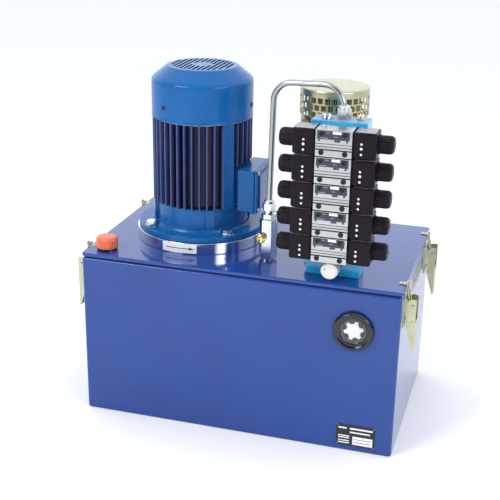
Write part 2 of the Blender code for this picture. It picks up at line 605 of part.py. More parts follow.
def make_coupling(finish):
    upper_bore, lower_bore = SHAFT_RADIUS + GAP, PUMP_SHAFT + GAP
    upper = turned([(upper_bore, MOTOR_HUB_Z0), (HUB_RADIUS, MOTOR_HUB_Z0), (HUB_RADIUS, MOTOR_HUB_Z1),
                    (upper_bore, MOTOR_HUB_Z1)], 24)
    lower = turned([(lower_bore, PUMP_HUB_Z0), (HUB_RADIUS, PUMP_HUB_Z0), (HUB_RADIUS, PUMP_HUB_Z1),
                    (lower_bore, PUMP_HUB_Z1)], 24)
    at = (MOTOR_X, MOTOR_Y, 0)
    upper_jaws = jaws(MOTOR_JAW_Z0, MOTOR_HUB_Z0 + JAW_ROOT, 0)
    lower_jaws = jaws(PUMP_HUB_Z1 - JAW_ROOT, PUMP_JAW_Z1, 45)
    place("coupling_motor_hub", shaped(upper, upper_jaws), finish, at)
    place("coupling_pump_hub", shaped(lower, lower_jaws), finish, at)


def gear_outline(turn):
    """Straight-sided teeth with running clearance."""
    outline = []
    for tooth in range(GEAR_TEETH):
        middle = math.tau * tooth / GEAR_TEETH + turn
        for radius, degrees in ((GEAR_ROOT, -10.5), (GEAR_TIP, -3.6), (GEAR_TIP, 3.6), (GEAR_ROOT, 10.5)):
            angle = middle + math.radians(degrees)
            outline.append((radius * math.cos(angle), radius * math.sin(angle)))
    return outline


def make_pump(body_finish, gear_finish):
    """Body, cover and two gears. The drive gear lies on the motor's axis and the idler behind it."""
    at = (MOTOR_X, MOTOR_Y, 0)
    mid_y = GEAR_CENTRES / 2
    y0, y1 = -PUMP_END_Y, GEAR_CENTRES + PUMP_END_Y
    x = PUMP_BODY_X
    low, room = COVER_TOP - 0.01, GEAR_TIP + GEAR_ROOM
    body = shaped(block(-x, x, y0, y1, COVER_TOP, PUMP_TOP), cut=[
        moved(along_x(rod(PORT_RADIUS, PORT_DEPTH, x + 0.01, 16)), y=mid_y, z=PORT_Z),
        rod(room, low, GEAR_ROOM_TOP, 28),
        rod(room, low - 0.002, GEAR_ROOM_TOP + 0.0005, 28, y=GEAR_CENTRES),
        block(PASSAGE_X0, PASSAGE_X1, mid_y - PASSAGE_HALF, mid_y + PASSAGE_HALF, low - 0.001,
              GEAR_ROOM_TOP - 0.001),
        rod(PUMP_SHAFT + GAP, low, PUMP_TOP + 0.01, 16),
        rod(PUMP_SHAFT + GAP, low, IDLER_BORE_TOP, 16, y=GEAR_CENTRES),
    ])
    bearing = COVER_BOTTOM + 0.0035
    cover = shaped(block(-x, x, y0, y1, COVER_BOTTOM, COVER_TOP - GAP), cut=[
        rod(PUMP_SHAFT + GAP, bearing, COVER_TOP + 0.01, 16),
        rod(PUMP_SHAFT + GAP, bearing, COVER_TOP + 0.01, 16, y=GEAR_CENTRES),
        rod(SUCTION_BORE, COVER_BOTTOM - 0.01, COVER_TOP + 0.01, 16, x=SUCTION_X, y=mid_y),
    ])
    place("pump_body", body, body_finish, at)
    place("pump_cover", cover, body_finish, at)
    towards_idler = math.radians(90)
    half_tooth = math.pi / GEAR_TEETH
    drive = shaped(prism(gear_outline(towards_idler), GEAR_Z0, GEAR_Z1),
                   [rod(PUMP_SHAFT, SHAFT_END, DRIVE_TOP)])
    idler = shaped(prism(gear_outline(half_tooth - towards_idler), GEAR_Z0, GEAR_Z1),
                   [rod(PUMP_SHAFT, SHAFT_END, IDLER_TOP)])
    place("pump_drive_gear", drive, gear_finish, at)
    place("pump_idler_gear", idler, gear_finish, (MOTOR_X, MOTOR_Y + GEAR_CENTRES, 0))


def make_suction_strainer(finish):
    """Mesh can on a short pipe under the pump's cover, bored from the top."""
    joint = COVER_BOTTOM - GAP
    can = turned([
        (0, CAN_BOTTOM), (CAN_RADIUS, CAN_BOTTOM), (CAN_RADIUS, CAN_TOP), (NECK_OUTER, CAN_TOP),
        (NECK_OUTER, joint), (SUCTION_BORE, joint), (SUCTION_BORE, CAN_BOTTOM + CAN_FLOOR),
        (0, CAN_BOTTOM + CAN_FLOOR),
    ], 20)
    place("suction_strainer", can, finish, (MOTOR_X + SUCTION_X, MOTOR_Y + GEAR_CENTRES / 2, 0))


def make_delivery_pipe(finish):
    """Pipe inside the tank, from the pump's outlet to the check valve's foot."""
    start = (MOTOR_X + PUMP_BODY_X + GAP, MOTOR_Y + GEAR_CENTRES / 2, PORT_Z)
    route = [start, (CHECK_X, start[1], PORT_Z), (CHECK_X, CHECK_Y, PORT_Z),
             (CHECK_X, CHECK_Y, LID_BOTTOM - GAP)]
    place("delivery_pipe", wire_curve(rounded_path(route, PIPE_BEND, 5), PIPE_RADIUS, 2), finish)


# ---- Check valve and pressure tube -----------------------------------------------------------------------

def make_check_valve(finish):
    body = prism(hexagon(CHECK_FLATS), ON_LID, CHECK_TOP)
    nipple = prism(hexagon(NIPPLE_FLATS), CHECK_TOP - 0.001, CHECK_TOP + NIPPLE_HEIGHT)
    place("check_valve_body", shaped(body, [nipple]), finish, (CHECK_X, CHECK_Y, 0))


def make_pressure_tube(finish):
    """Bent steel tube with its two nuts, from the check valve to the manifold's top."""
    low, end = CHECK_TOP + NIPPLE_HEIGHT + GAP, MANIFOLD_TOP + GAP
    route = [(CHECK_X, CHECK_Y, low + 0.001), (CHECK_X + TUBE_LEAN, CHECK_Y, TUBE_TOP - TUBE_DIP),
             (TUBE_END_X - TUBE_DIP, TUBE_END_Y, TUBE_TOP + TUBE_RISE), (TUBE_END_X, TUBE_END_Y, end + 0.001)]
    path = rounded_path(route, TUBE_BEND, 8)
    tube = evaluated_mesh(bpy.data.objects.new("tube", wire_curve(path, TUBE_RADIUS, 3)))
    nuts = [
        moved(prism(hexagon(NUT_FLATS), low, low + LOWER_NUT), CHECK_X, CHECK_Y),
        moved(prism(hexagon(NUT_FLATS), end, end + UPPER_NUT), TUBE_END_X, TUBE_END_Y),
    ]
    place("pressure_tube", shaped(tube, nuts), finish)


# ---- Manifold and valves ---------------------------------------------------------------------------------

def make_manifold(finish):
    place("manifold", block(MANIFOLD_X0, MANIFOLD_X1, MANIFOLD_Y0, MANIFOLD_Y1, ON_LID, MANIFOLD_TOP), finish)


def make_relief_valve(cartridge_finish, knob_finish):
    """Cartridge with a stem, and the knob that turns on it. Heights run forward from the block's face."""
    at = (RELIEF_X, MANIFOLD_Y0, RELIEF_Z)
    back, front = MANIFOLD_Y0 - KNOB_BACK_Y, MANIFOLD_Y0 - KNOB_FRONT_Y
    cartridge = shaped(prism(hexagon(RELIEF_FLATS), GAP, back - 0.001),
                       [rod(RELIEF_STEM, back - 0.003, back + 0.006)])
    bore = RELIEF_STEM + GAP
    knob = turned([
        (0, back + 0.0070), (bore, back + 0.0070), (bore, back), (KNOB_RADIUS, back),
        (KNOB_RADIUS, front - 0.0015), (KNOB_RADIUS - 0.002, front), (0, front),
    ], 24)
    place("relief_cartridge", along_front(cartridge), cartridge_finish, at)
    place("relief_knob", along_front(knob), knob_finish, at)


def valve_body_mesh():
    front, back = VALVE_FRONT_Y - VALVE_AXIS_Y, MANIFOLD_Y0 - GAP - VALVE_AXIS_Y
    body = block(-VALVE_HALF, VALVE_HALF, front, back, -VALVE_HEIGHT / 2, VALVE_HEIGHT / 2)
    return shaped(body, cut=[along_x(rod(SPOOL_BORE, -0.04, 0.04, 14))])


def solenoid_mesh(side):
    """Square coil and round end nut, bored for the armature and for the manual override pin."""
    start = VALVE_HALF + GAP
    front, back = COIL_FRONT_Y - VALVE_AXIS_Y, COIL_BACK_Y - VALVE_AXIS_Y
    ends = sorted((side * start, side * COIL_END))
    coil = block(*ends, front, back, -COIL_HALF_Z, COIL_HALF_Z)
    nut = turned([(0, COIL_END - 0.001), (NUT_RADIUS, COIL_END - 0.001), (NUT_RADIUS, NUT_END - 0.004),
                  (NUT_RADIUS - 0.0035, NUT_END), (0, NUT_END)], 16)
    bore = turned([(0, 0), (ARMATURE_BORE, 0), (ARMATURE_BORE, ARMATURE_ROOM), (PIN_BORE, ARMATURE_ROOM),
                   (PIN_BORE, NUT_END + 0.01), (0, NUT_END + 0.01)], 10)
    return shaped(coil, [along_x(nut, side)], [along_x(bore, side)])


def spool_mesh():
    """Spool with two lands, the two armatures and the two override pins, in one piece along X."""
    half = [(LAND_X0, SPOOL_CORE), (LAND_X0, SPOOL_RADIUS), (LAND_X1, SPOOL_RADIUS), (LAND_X1, SPOOL_STEM),
            (ARMATURE_X0, SPOOL_STEM), (ARMATURE_X0, ARMATURE_RADIUS), (ARMATURE_X1, ARMATURE_RADIUS),
            (ARMATURE_X1, PIN_RADIUS), (PIN_END, PIN_RADIUS), (PIN_END, 0)]
    profile = [(radius, -x) for x, radius in reversed(half)] + [(radius, x) for x, radius in half]
    return along_x(turned(profile, 8))


def make_valves(body_finish, coil_finish, spool_finish):
    body, spool = valve_body_mesh(), spool_mesh()
    left, right = solenoid_mesh(-1), solenoid_mesh(1)
    for row in range(VALVE_COUNT):
        at = (VALVE_X, VALVE_AXIS_Y, VALVE_FIRST_Z + row * VALVE_PITCH)
        place(f"valve_body_{row + 1}", body, body_finish, at)
        place(f"solenoid_left_{row + 1}", left, coil_finish, at)
        place(f"solenoid_right_{row + 1}", right, coil_finish, at)
        place(f"valve_spool_{row + 1}", spool, spool_finish, at)


# ---- Filler and breather ---------------------------------------------------------------------------------

def make_filler(neck_finish, cap_finish):
    at = (FILLER_X, FILLER_Y, 0)
    under_cap, inside = CAP_BOTTOM - GAP, NECK_RADIUS + GAP
    neck = turned([
        (NECK_BORE, NECK_BOTTOM), (NECK_RADIUS, NECK_BOTTOM), (NECK_RADIUS, ON_LID), (NECK_FLANGE, ON_LID),
        (NECK_FLANGE, under_cap), (NECK_RADIUS, under_cap), (NECK_RADIUS, NECK_TOP), (NECK_BORE, NECK_TOP),
    ], 20)
    cap = turned([
        (0, CAP_INSIDE), (inside, CAP_INSIDE), (inside, CAP_BOTTOM), (CAP_RADIUS, CAP_BOTTOM),
        (CAP_RADIUS, CAP_TOP - CAP_EDGE), (CAP_RADIUS - CAP_EDGE, CAP_TOP), (0, CAP_TOP),
    ], 24)
    place("filler_neck", neck, neck_finish, at)
    place("filler_cap", cap, cap_finish, at)


def make_breather(riser_finish, element_finish, guard_finish):
    at = (BREATHER_X, BREATHER_Y, 0)
    low, top, foot = GUARD_BOTTOM, GUARD_TOP, LID_TOP + FOOT_THICK
    riser = turned([
        (RISER_BORE, ON_LID), (RISER_FOOT, ON_LID), (RISER_FOOT, foot), (RISER_RADIUS, foot),
        (RISER_RADIUS, low - PLATE_THICK), (PLATE_RADIUS, low - PLATE_THICK), (PLATE_RADIUS, low - GAP),
        (RISER_BORE, low - GAP),
    ], 28)
    paper = top - ELEMENT_SPACE
    element = turned([(ELEMENT_BORE, low), (ELEMENT_RADIUS, low), (ELEMENT_RADIUS, paper),
                      (ELEMENT_BORE, paper)], 20)
    radius, inside = GUARD_RADIUS, GUARD_RADIUS - GUARD_WALL
    lower, step = GUARD_LOWER, GUARD_STEP
    guard = turned([
        (0, top), (radius - 0.006, top - 0.0015), (radius, top - 0.0070), (radius, step), (lower, step),
        (lower, low), (lower - GUARD_WALL, low), (lower - GUARD_WALL, step + GUARD_WALL),
        (inside, step + GUARD_WALL), (inside, top - 0.0074), (radius - 0.007, top - 0.0028),
        (0, top - 0.0013),
    ], 32)
    place("breather_riser", riser, riser_finish, at)
    place("breather_element", element, element_finish, at)
    place("breather_guard", guard, guard_finish, at)


# ---- Toggle latches --------------------------------------------------------------------------------------

def lever_mesh(side):
    """Channel open to the wall, forked above the bail's pins so that the bail can swing out. The origin is
    the lever's pivot."""
    outline = [(LEVER_OUT, -LEVER_TIP), (LEVER_OUT, LEVER_CROWN - 0.0020)]
    for step in range(5):
        angle = math.radians(66 + 28 * step)
        outline.append((LEVER_CROWN * math.cos(angle), LEVER_CROWN * math.sin(angle)))
    outline += [(-LEVER_IN, -0.003), (-LEVER_IN, -LEVER_STRAIGHT), (LEVER_OUT - 0.0020, -LEVER_TIP)]
    inner = LEVER_HALF - SHEET
    channel = block(-0.05, LEVER_OUT - SHEET, -inner, inner, -0.12, 0.05)
    fork = block(0, 0.05, -inner - GAP, inner + GAP, -BAIL_DOWN - 0.0010, 0.05)
    holes = [
        along_front(rod(0.0024, -0.02, 0.02, 12)),
        moved(along_front(rod(0.0019, -0.02, 0.02, 12)), BAIL_OUT, 0, -BAIL_DOWN),
    ]
    mesh = shaped(side_prism(outline, -LEVER_HALF, LEVER_HALF), cut=[channel, fork] + holes)
    if side < 0:
        mesh.transform(Matrix.Diagonal((-1, 1, 1, 1)))
        mesh.flip_normals()
    return mesh


def bail_curve(side):
    """Wire bail from pin to pin over the keeper. The origin is the bail's pivot in the lever."""
    rise = HOOK_Z - PIVOT_Z + BAIL_DOWN
    reach = side * (HOOK_X - PIVOT_X - BAIL_OUT)
    pin = LEVER_HALF + 0.0008
    corners = [(0, -pin, 0), (0, -WIRE_HALF, 0), (reach, -WIRE_HALF, rise), (reach, WIRE_HALF, rise),
               (0, WIRE_HALF, 0), (0, pin, 0)]
    return wire_curve(rounded_path(corners, 0.0024, 3), WIRE_RADIUS, 1)


def make_latches(finish):
    for side, y, name in latch_places():
        place("latch_lever_" + name, lever_mesh(side), finish, (side * PIVOT_X, y, PIVOT_Z))
        at = (side * (PIVOT_X + BAIL_OUT), y, PIVOT_Z - BAIL_DOWN)
        place("latch_bail_" + name, bail_curve(side), finish, at)


def main():
    for obj in list(bpy.data.objects):
        bpy.data.objects.remove(obj, do_unlink=True)
    looks = make_materials()
    make_tank(looks["tank_paint"])
    make_gasket(looks["rubber"])
    make_lid(looks["tank_paint"])
    make_sight_glass(looks["black_plastic"], looks["glass"])
    make_bellhousing(looks["polished"])
    make_motor_flange(looks["motor_paint"])
    make_motor_housing(looks["motor_paint"])
    make_terminal_box_lid(looks["motor_paint"])
    make_motor_rear_shield(looks["aluminium"])
    make_motor_inside(looks["copper"], looks["steel"])
    make_fan(looks["black_plastic"])
    make_fan_cowl(looks["motor_paint"])
    make_coupling(looks["aluminium"])
    make_pump(looks["cast_iron"], looks["steel"])
    make_suction_strainer(looks["zinc"])
    make_delivery_pipe(looks["steel"])
    make_check_valve(looks["zinc"])
    make_pressure_tube(looks["steel"])
    make_manifold(looks["manifold_paint"])
    make_relief_valve(looks["zinc"], looks["white_knob"])
    make_valves(looks["zinc"], looks["black_plastic"], looks["steel"])
    make_filler(looks["black_plastic"], looks["red_plastic"])
    make_breather(looks["steel"], looks["filter_paper"], looks["yellow_zinc"])
    make_latches(looks["yellow_zinc"])


main()
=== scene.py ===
"""Looks of the hydraulic power unit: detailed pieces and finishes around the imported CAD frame.

Metres, +Z up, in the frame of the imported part. The front is -Y.
"""

import math

import bmesh
import bpy
from mathutils import Matrix, Vector


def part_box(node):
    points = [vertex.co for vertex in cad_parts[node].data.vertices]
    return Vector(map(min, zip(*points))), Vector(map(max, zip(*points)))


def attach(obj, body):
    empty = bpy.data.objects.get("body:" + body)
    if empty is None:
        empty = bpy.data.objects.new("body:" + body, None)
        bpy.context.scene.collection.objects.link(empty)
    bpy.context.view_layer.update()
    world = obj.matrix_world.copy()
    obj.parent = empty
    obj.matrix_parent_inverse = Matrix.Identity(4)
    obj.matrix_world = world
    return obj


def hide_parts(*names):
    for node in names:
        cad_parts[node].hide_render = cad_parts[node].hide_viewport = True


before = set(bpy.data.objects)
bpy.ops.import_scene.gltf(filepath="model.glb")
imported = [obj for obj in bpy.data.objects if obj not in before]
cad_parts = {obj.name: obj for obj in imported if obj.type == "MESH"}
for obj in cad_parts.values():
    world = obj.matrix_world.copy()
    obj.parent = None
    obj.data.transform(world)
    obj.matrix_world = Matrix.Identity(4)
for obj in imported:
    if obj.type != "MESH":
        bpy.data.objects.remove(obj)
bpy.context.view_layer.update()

HAIR = 0.0002  # how far a thin print or plate stands off the surface that it lies on

# Tank and lid
WALL_X, WALL_Y, WALL, RIM_REACH = 0.3, 0.179, 0.003, 0.015
RIM_BOTTOM, RIM_TOP, FLOOR = 0.306, 0.314, 0.004
LID_BOTTOM, LID_TOP = 0.317, 0.324
CORNER = 0.006
INNER_CORNER = CORNER - WALL

# Rating plate on the front wall: left, right, low and high edges, and the width its fields are drawn for
PLATE_EDGES, PLATE_DRAWN = (0.1975, 0.2688, 0.0104, 0.0535), 0.064

# Direction label on the ring: its first angle from the front, its spread in degrees, and its edges
LABEL_START, LABEL_SPREAD, LABEL_STRIPS, LABEL_LOW, LABEL_HIGH = -17, 31, 8, 0.3266, 0.344

# Motor
FLANGE_FACE, FLANGE_BOLTS, FLANGE_BORE, SPIGOT = 0.3558, 0.1075, 0.015, 0.0874
LUG_TURN, BOX_FOOT, BOX_BACK, FRAME_BORE = 28, 0.4792, -0.0377, 0.074
COWL_SHOULDER = [(0.063, 0.6556), (0.0672, 0.6548), (0.0908, 0.636), (0.095, 0.631), (0.0955, 0.624)]
COWL_WALL, COWL_SCREW_Z, COWL_SCREW_TURN = 0.0015, 0.587, -119
FIN_ROOT, FIN_TIP, FIN_THICK, PAD_ANGLE, PAD_THICK = 0.0785, 0.0946, 0.0032, 39.9, 0.0225
FIN_ANGLES = [9 * fin for fin in range(-3, 4)] + [57.2 + 8.77 * fin for fin in range(29)]
SLOTS, SLOT_PITCH, SLOT_WIDTH, GRILLE_RADIUS, GRILLE_BLANK = 13, 0.0088, 0.0048, 0.058, 0.019

# Check valve, tube and manifold fittings
SHOULDER_Z = 0.4029
TEST_PLUG = (-0.0085, -0.009, 0.369)
TUBE_END, TUBE_TOP, TUBE_LEAN, TUBE_BEND, TUBE_RADIUS = (0.1712, -0.1165), 0.6572, 0.0043, 0.036, 0.0053
BACK_PORTS, BACK_PORT_DEPTH = (-0.026, 0.026), 0.004
TOP_PLUG, GAUGE_PLUG = (0.1435, -0.1275), (0.1998, -0.1205)
SIDE_PORT_Y, SIDE_PORT_HEIGHTS = -0.118, (0.3378, 0.399)

# Solenoid valves, about the axis of their spool
ROWS = range(1, 6)
VALVE_HALF, VALVE_TOP, VALVE_BACK = 0.031, 0.02285, 0.0192
VALVE_SCREWS = ((-0.0206, 0.0163), (0.0186, 0.0163), (-0.0208, -0.0158), (0.0194, -0.0162))
SEAT_RADIUS, GROOVE_DEPTH = 0.0049, 0.0016
COIL_INNER, COIL_END, NUT_END, COIL_HALF, COIL_BACK = 0.0313, 0.0713, 0.0979, 0.0222, 0.018
PINS = ((0.003, 0.002), (-0.0048, 0.0024), (-0.0146, 0.002))
PIN_X = {-1: -0.052, 1: 0.046}

# Breather
GUARD_COLUMNS, GUARD_ROWS, GUARD_SHEET = 30, 3, 0.001
PLEATS, PLEAT_RADII = 64, (0.04, 0.0492)

# Latches
LATCH_Y, PIVOT_X, PIVOT_Z, EAR_RADIUS = 0.135, 0.3155, 0.2895, 0.0052
EAR_OUTER, EAR_SHEET, BRACKET_FACE = 0.0122, 0.0014, 0.0016
HOOK_X, KEEPER_HALF, KEEPER_TOP, KEEPER_LIP, KEEPER_IN = 0.3012, 0.006, 0.3256, 0.3304, 0.2875
BAIL_X, BAIL_Z, HOOK_Z, BAIL_PIN, BAIL_HALF, BAIL_WIRE = 0.3163, 0.2595, 0.3275, 0.0148, 0.0085, 0.0014

# Camera and light
YAW, PITCH, ROLL, LENS, SENSOR = 0.28525, 0.36245, 0.01713, 73.95, 36
CAMERA_AT = (0.50253, -1.80045, 1.01018)
FLOOR_HALF, FLOOR_DROP = 30, 0.0004
LIGHTS = (("key", (-1.5, -2.2, 2.0), (0, 0, 0.3), (1.2, 1.2), 56),
          ("band", (1.46, -0.98, 1.08), (-0.12, 0, 0.33), (1.0, 0.5), 13))
SKY_TILT, SKY_STRENGTH = (0, 1, 0.95), 1.5
SKY = ((0.45, (0.085, 0.087, 0.092, 1)), (0.86, (0.93, 0.96, 1.0, 1)), (0.62, (0.33, 0.34, 0.36, 1)))


# ---- Meshes ----

def centre(*nodes):
    """Middle of the box round some CAD nodes."""
    boxes = [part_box(node) for node in nodes]
    low = [min(box[0][k] for box in boxes) for k in range(3)]
    high = [max(box[1][k] for box in boxes) for k in range(3)]
    return (Vector(low) + Vector(high)) / 2


def link(obj):
    bpy.context.scene.collection.objects.link(obj)


def mesh_of(bm):
    bmesh.ops.recalc_face_normals(bm, faces=bm.faces)
    mesh = bpy.data.meshes.new("shape")
    bm.to_mesh(mesh)
    bm.free()
    return mesh


def soften(mesh, width, segments=2, limit=40):
    """Rounds the edges of a mesh that are sharper than limit degrees."""
    bm = bmesh.new()
    bm.from_mesh(mesh)
    edges = [e for e in bm.edges if len(e.link_faces) == 2 and e.calc_face_angle(0) > math.radians(limit)]
    bmesh.ops.bevel(bm, geom=edges, offset=width, segments=segments, profile=0.5, affect="EDGES",
                    clamp_overlap=True)
    return mesh_of(bm)


def bridge(bm, low, high):
    """Faces between two closed rows with the same count of vertices."""
    for k in range(len(low)):
        after = (k + 1) % len(low)
        bm.faces.new((low[k], low[after], high[after], high[k]))


def block(x0, x1, y0, y1, z0, z1, soft=0.0, segments=2):
    """Box between two corners, with edges rounded by soft."""
    bm = bmesh.new()
    middle = Vector((x0 + x1, y0 + y1, z0 + z1)) / 2
    size = Vector((abs(x1 - x0), abs(y1 - y0), abs(z1 - z0)))
    bmesh.ops.create_cube(bm, size=1, matrix=Matrix.Translation(middle) @ Matrix.Diagonal(size.to_4d()))
    mesh = mesh_of(bm)
    return soften(mesh, soft, segments) if soft else mesh


def rounded_corners(points, radius, closed):
    """Path in a plane whose corners are replaced by curves that start radius away from them."""
    points = [Vector(point) for point in points]
    count, steps = len(points), 4
    path = []
    for k, corner in enumerate(points):
        if not closed and k in (0, count - 1):
            path.append(corner)
            continue
        back, ahead = points[k - 1] - corner, points[(k + 1) % count] - corner
        if back.length < 1e-9 or ahead.length < 1e-9 or back.angle(ahead) > math.radians(170):
            path.append(corner)
            continue
        start = corner + back.normalized() * min(radius, 0.45 * back.length)
        end = corner + ahead.normalized() * min(radius, 0.45 * ahead.length)
        for step in range(steps + 1):
            t = step / steps
            path.append(start * (1 - t) ** 2 + corner * 2 * t * (1 - t) + end * t * t)
    return path


def lathe(profile, steps=64, soft=0.0, ribs=None):
    """Solid turned about Z from (radius, height) points. A profile that starts off the axis closes into a
    ring. Ribs are (count, depth, radius): outside that radius the surface waves in by the depth."""
    ring = profile[0][0] > 0
    points = rounded_corners(profile, soft, ring) if soft else [Vector(point) for point in profile]
    bm = bmesh.new()
    rows = []
    for radius, height in points:
        row = []
        for step in range(steps if radius > 1e-7 else 1):
            angle = math.tau * step / steps
            reach = radius
            if ribs and radius > ribs[2]:
                reach -= ribs[1] * (0.5 - 0.5 * math.cos(ribs[0] * angle))
            row.append(bm.verts.new((reach * math.cos(angle), reach * math.sin(angle), height)))
        rows.append(row)
    pairs = list(zip(rows, rows[1:])) + ([(rows[-1], rows[0])] if ring else [])
    for low, high in pairs:
        for step in range(steps):
            after = (step + 1) % steps
            around = ((low, step), (low, after), (high, after), (high, step))
            unique = list(dict.fromkeys(row[k % len(row)] for row, k in around))
            if len(unique) > 2:
                bm.faces.new(unique)
    return mesh_of(bm)


def rod(radius, z0, z1, steps=48, soft=0.0):
    return lathe([(0, z0), (radius, z0), (radius, z1), (0, z1)], steps, soft)


def prism(outline, z0, z1, soft=0.0, limit=40):
    bm = bmesh.new()
    face = bm.faces.new([bm.verts.new((x, y, z0)) for x, y in outline])
    top = bmesh.ops.extrude_face_region(bm, geom=[face])["geom"]
    verts = [item for item in top if isinstance(item, bmesh.types.BMVert)]
    bmesh.ops.translate(bm, verts=verts, vec=(0, 0, z1 - z0))
    mesh = mesh_of(bm)
    return soften(mesh, soft, 2, limit) if soft else mesh


def side_prism(outline, y0, y1, soft=0.0):
    """Outline in XZ, extruded from y0 to y1."""
    mesh = prism(outline, -y1, -y0, soft)
    mesh.transform(Matrix.Rotation(math.radians(90), 4, "X"))
    return mesh


def hex_solid(flats, z0, z1, chamfer_low=True, chamfer_high=True, steps=72):
    """Hexagon bar, flats facing +Y and -Y, with turned chamfers at its ends."""
    crown = flats / 2 * 1.02
    slope = math.tan(math.radians(30))

    def reach(angle):
        off = (math.degrees(angle) % 60) - 30
        return flats / 2 / math.cos(math.radians(off))

    def row(bm, height, chamfered, inside):
        made = []
        for step in range(steps):
            angle = math.tau * step / steps
            radius = reach(angle)
            drop = max(0, radius - crown) * slope if chamfered else 0
            if inside and chamfered:
                radius, drop = min(radius, crown), 0
            level = height - drop if height == z1 else height + drop
            made.append(bm.verts.new((radius * math.cos(angle), radius * math.sin(angle), level)))
        return made

    bm = bmesh.new()
    rows = [row(bm, z0, chamfer_low, True), row(bm, z0, chamfer_low, False),
            row(bm, z1, chamfer_high, False), row(bm, z1, chamfer_high, True)]
    bm.faces.new(rows[0])
    bm.faces.new(rows[-1])
    for low, high in zip(rows, rows[1:]):
        bridge(bm, low, high)
    bmesh.ops.remove_doubles(bm, verts=bm.verts, dist=1e-7)
    return mesh_of(bm)


def rounded_loops(loops, ring):
    """Skin through rectangular loops (half width, half depth, height, corner radius)."""
    bm = bmesh.new()
    rows, corner_steps = [], 8
    for half_x, half_y, z, radius in loops:
        row = []
        for corner, (sx, sy) in enumerate(((1, 1), (-1, 1), (-1, -1), (1, -1))):
            for step in range(corner_steps + 1):
                angle = math.radians(90 * corner + 90 * step / corner_steps)
                row.append(bm.verts.new((sx * (half_x - radius) + radius * math.cos(angle),
                                         sy * (half_y - radius) + radius * math.sin(angle), z)))
        rows.append(row)
    pairs = list(zip(rows, rows[1:]))
    if ring:
        pairs.append((rows[-1], rows[0]))
    else:
        bm.faces.new(rows[0])
        bm.faces.new(rows[-1])
    for low, high in pairs:
        bridge(bm, low, high)
    return mesh_of(bm)


def evaluated(obj):
    """Mesh of an object with its modifiers or bevel, which isn't kept in the scene."""
    link(obj)
    depsgraph = bpy.context.evaluated_depsgraph_get()
    depsgraph.update()
    mesh = bpy.data.meshes.new_from_object(obj.evaluated_get(depsgraph))
    bm = bmesh.new()
    bm.from_mesh(mesh)
    bmesh.ops.remove_doubles(bm, verts=bm.verts, dist=1e-7)
    bm.to_mesh(mesh)
    bm.free()
    bpy.data.objects.remove(obj)
    return mesh


def carved(base, cutters):
    """Mesh of a base with closed meshes cut from it."""
    body = bpy.data.objects.new("body", base)
    tools = []
    for mesh in cutters:
        tool = bpy.data.objects.new("tool", mesh)
        link(tool)
        tools.append(tool)
        modifier = body.modifiers.new("cut", "BOOLEAN")
        modifier.operation = "DIFFERENCE"
        modifier.solver = "EXACT"
        modifier.object = tool
    mesh = evaluated(body)
    for tool in tools:
        bpy.data.objects.remove(tool)
    return mesh


def rounded_path(points, radius, steps):
    """Path in space whose inner corners are replaced by arcs."""
    path = [Vector(points[0])]
    for before, corner, after in zip(points, points[1:], points[2:]):
        corner = Vector(corner)
        back = (Vector(before) - corner).normalized()
        ahead = (Vector(after) - corner).normalized()
        half = back.angle(ahead) / 2
        middle = corner + (back + ahead).normalized() * radius / math.sin(half)
        start = corner + back * radius / math.tan(half) - middle
        axis = start.cross(corner + ahead * radius / math.tan(half) - middle)
        sweep = math.pi - 2 * half
        for step in range(steps + 1):
            path.append(middle + Matrix.Rotation(sweep * step / steps, 3, axis) @ start)
    path.append(Vector(points[-1]))
    return path


def wire(path, radius, resolution=5):
    """Round wire or tube along a path, with filled ends."""
    curve = bpy.data.curves.new("wire", "CURVE")
    curve.dimensions = "3D"
    curve.bevel_depth = radius
    curve.bevel_resolution = resolution
    curve.use_fill_caps = True
    spline = curve.splines.new("POLY")
    spline.points.add(len(path) - 1)
    for point, place in zip(spline.points, path):
        point.co = (*place, 1)
    return evaluated(bpy.data.objects.new("wire", curve))


def at(mesh, x=0, y=0, z=0):
    mesh.transform(Matrix.Translation((x, y, z)))
    return mesh


def turn(mesh, degrees, axis="Z"):
    mesh.transform(Matrix.Rotation(math.radians(degrees), 4, axis))
    return mesh


def forward(mesh):
    """Turns a shape made along +Z to point along -Y."""
    return turn(mesh, 90, "X")


def sideways(mesh, side=1):
    """Turns a shape made along +Z to point along +X, or -X where side is -1."""
    return turn(mesh, 90 * side, "Y")


def mirrored(mesh):
    mesh.transform(Matrix.Diagonal((-1, 1, 1, 1)))
    mesh.flip_normals()
    return mesh


def refined(node, width):
    """Copy of a CAD node's mesh with its coplanar faces merged and its edges rounded."""
    bm = bmesh.new()
    bm.from_mesh(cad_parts[node].data)
    bmesh.ops.remove_doubles(bm, verts=bm.verts, dist=1e-6)
    bmesh.ops.dissolve_limit(bm, angle_limit=math.radians(1), verts=bm.verts, edges=bm.edges)
    return soften(mesh_of(bm), width, 2, 30)


# ---- Finishes ----

def shade(colour, factor):
    return (*(min(1.0, channel * factor) for channel in colour), 1)


def add_node(tree, kind, inputs=(), **settings):
    """Adds a shader node with its settings. Its inputs, by name or number, get a value or another node's
    output."""
    made = tree.nodes.new("ShaderNode" + kind)
    for key, value in settings.items():
        setattr(made, key, value)
    for socket, value in inputs:
        if isinstance(value, bpy.types.NodeSocket):
            tree.links.new(value, made.inputs[socket])
        else:
            made.inputs[socket].default_value = value
    return made


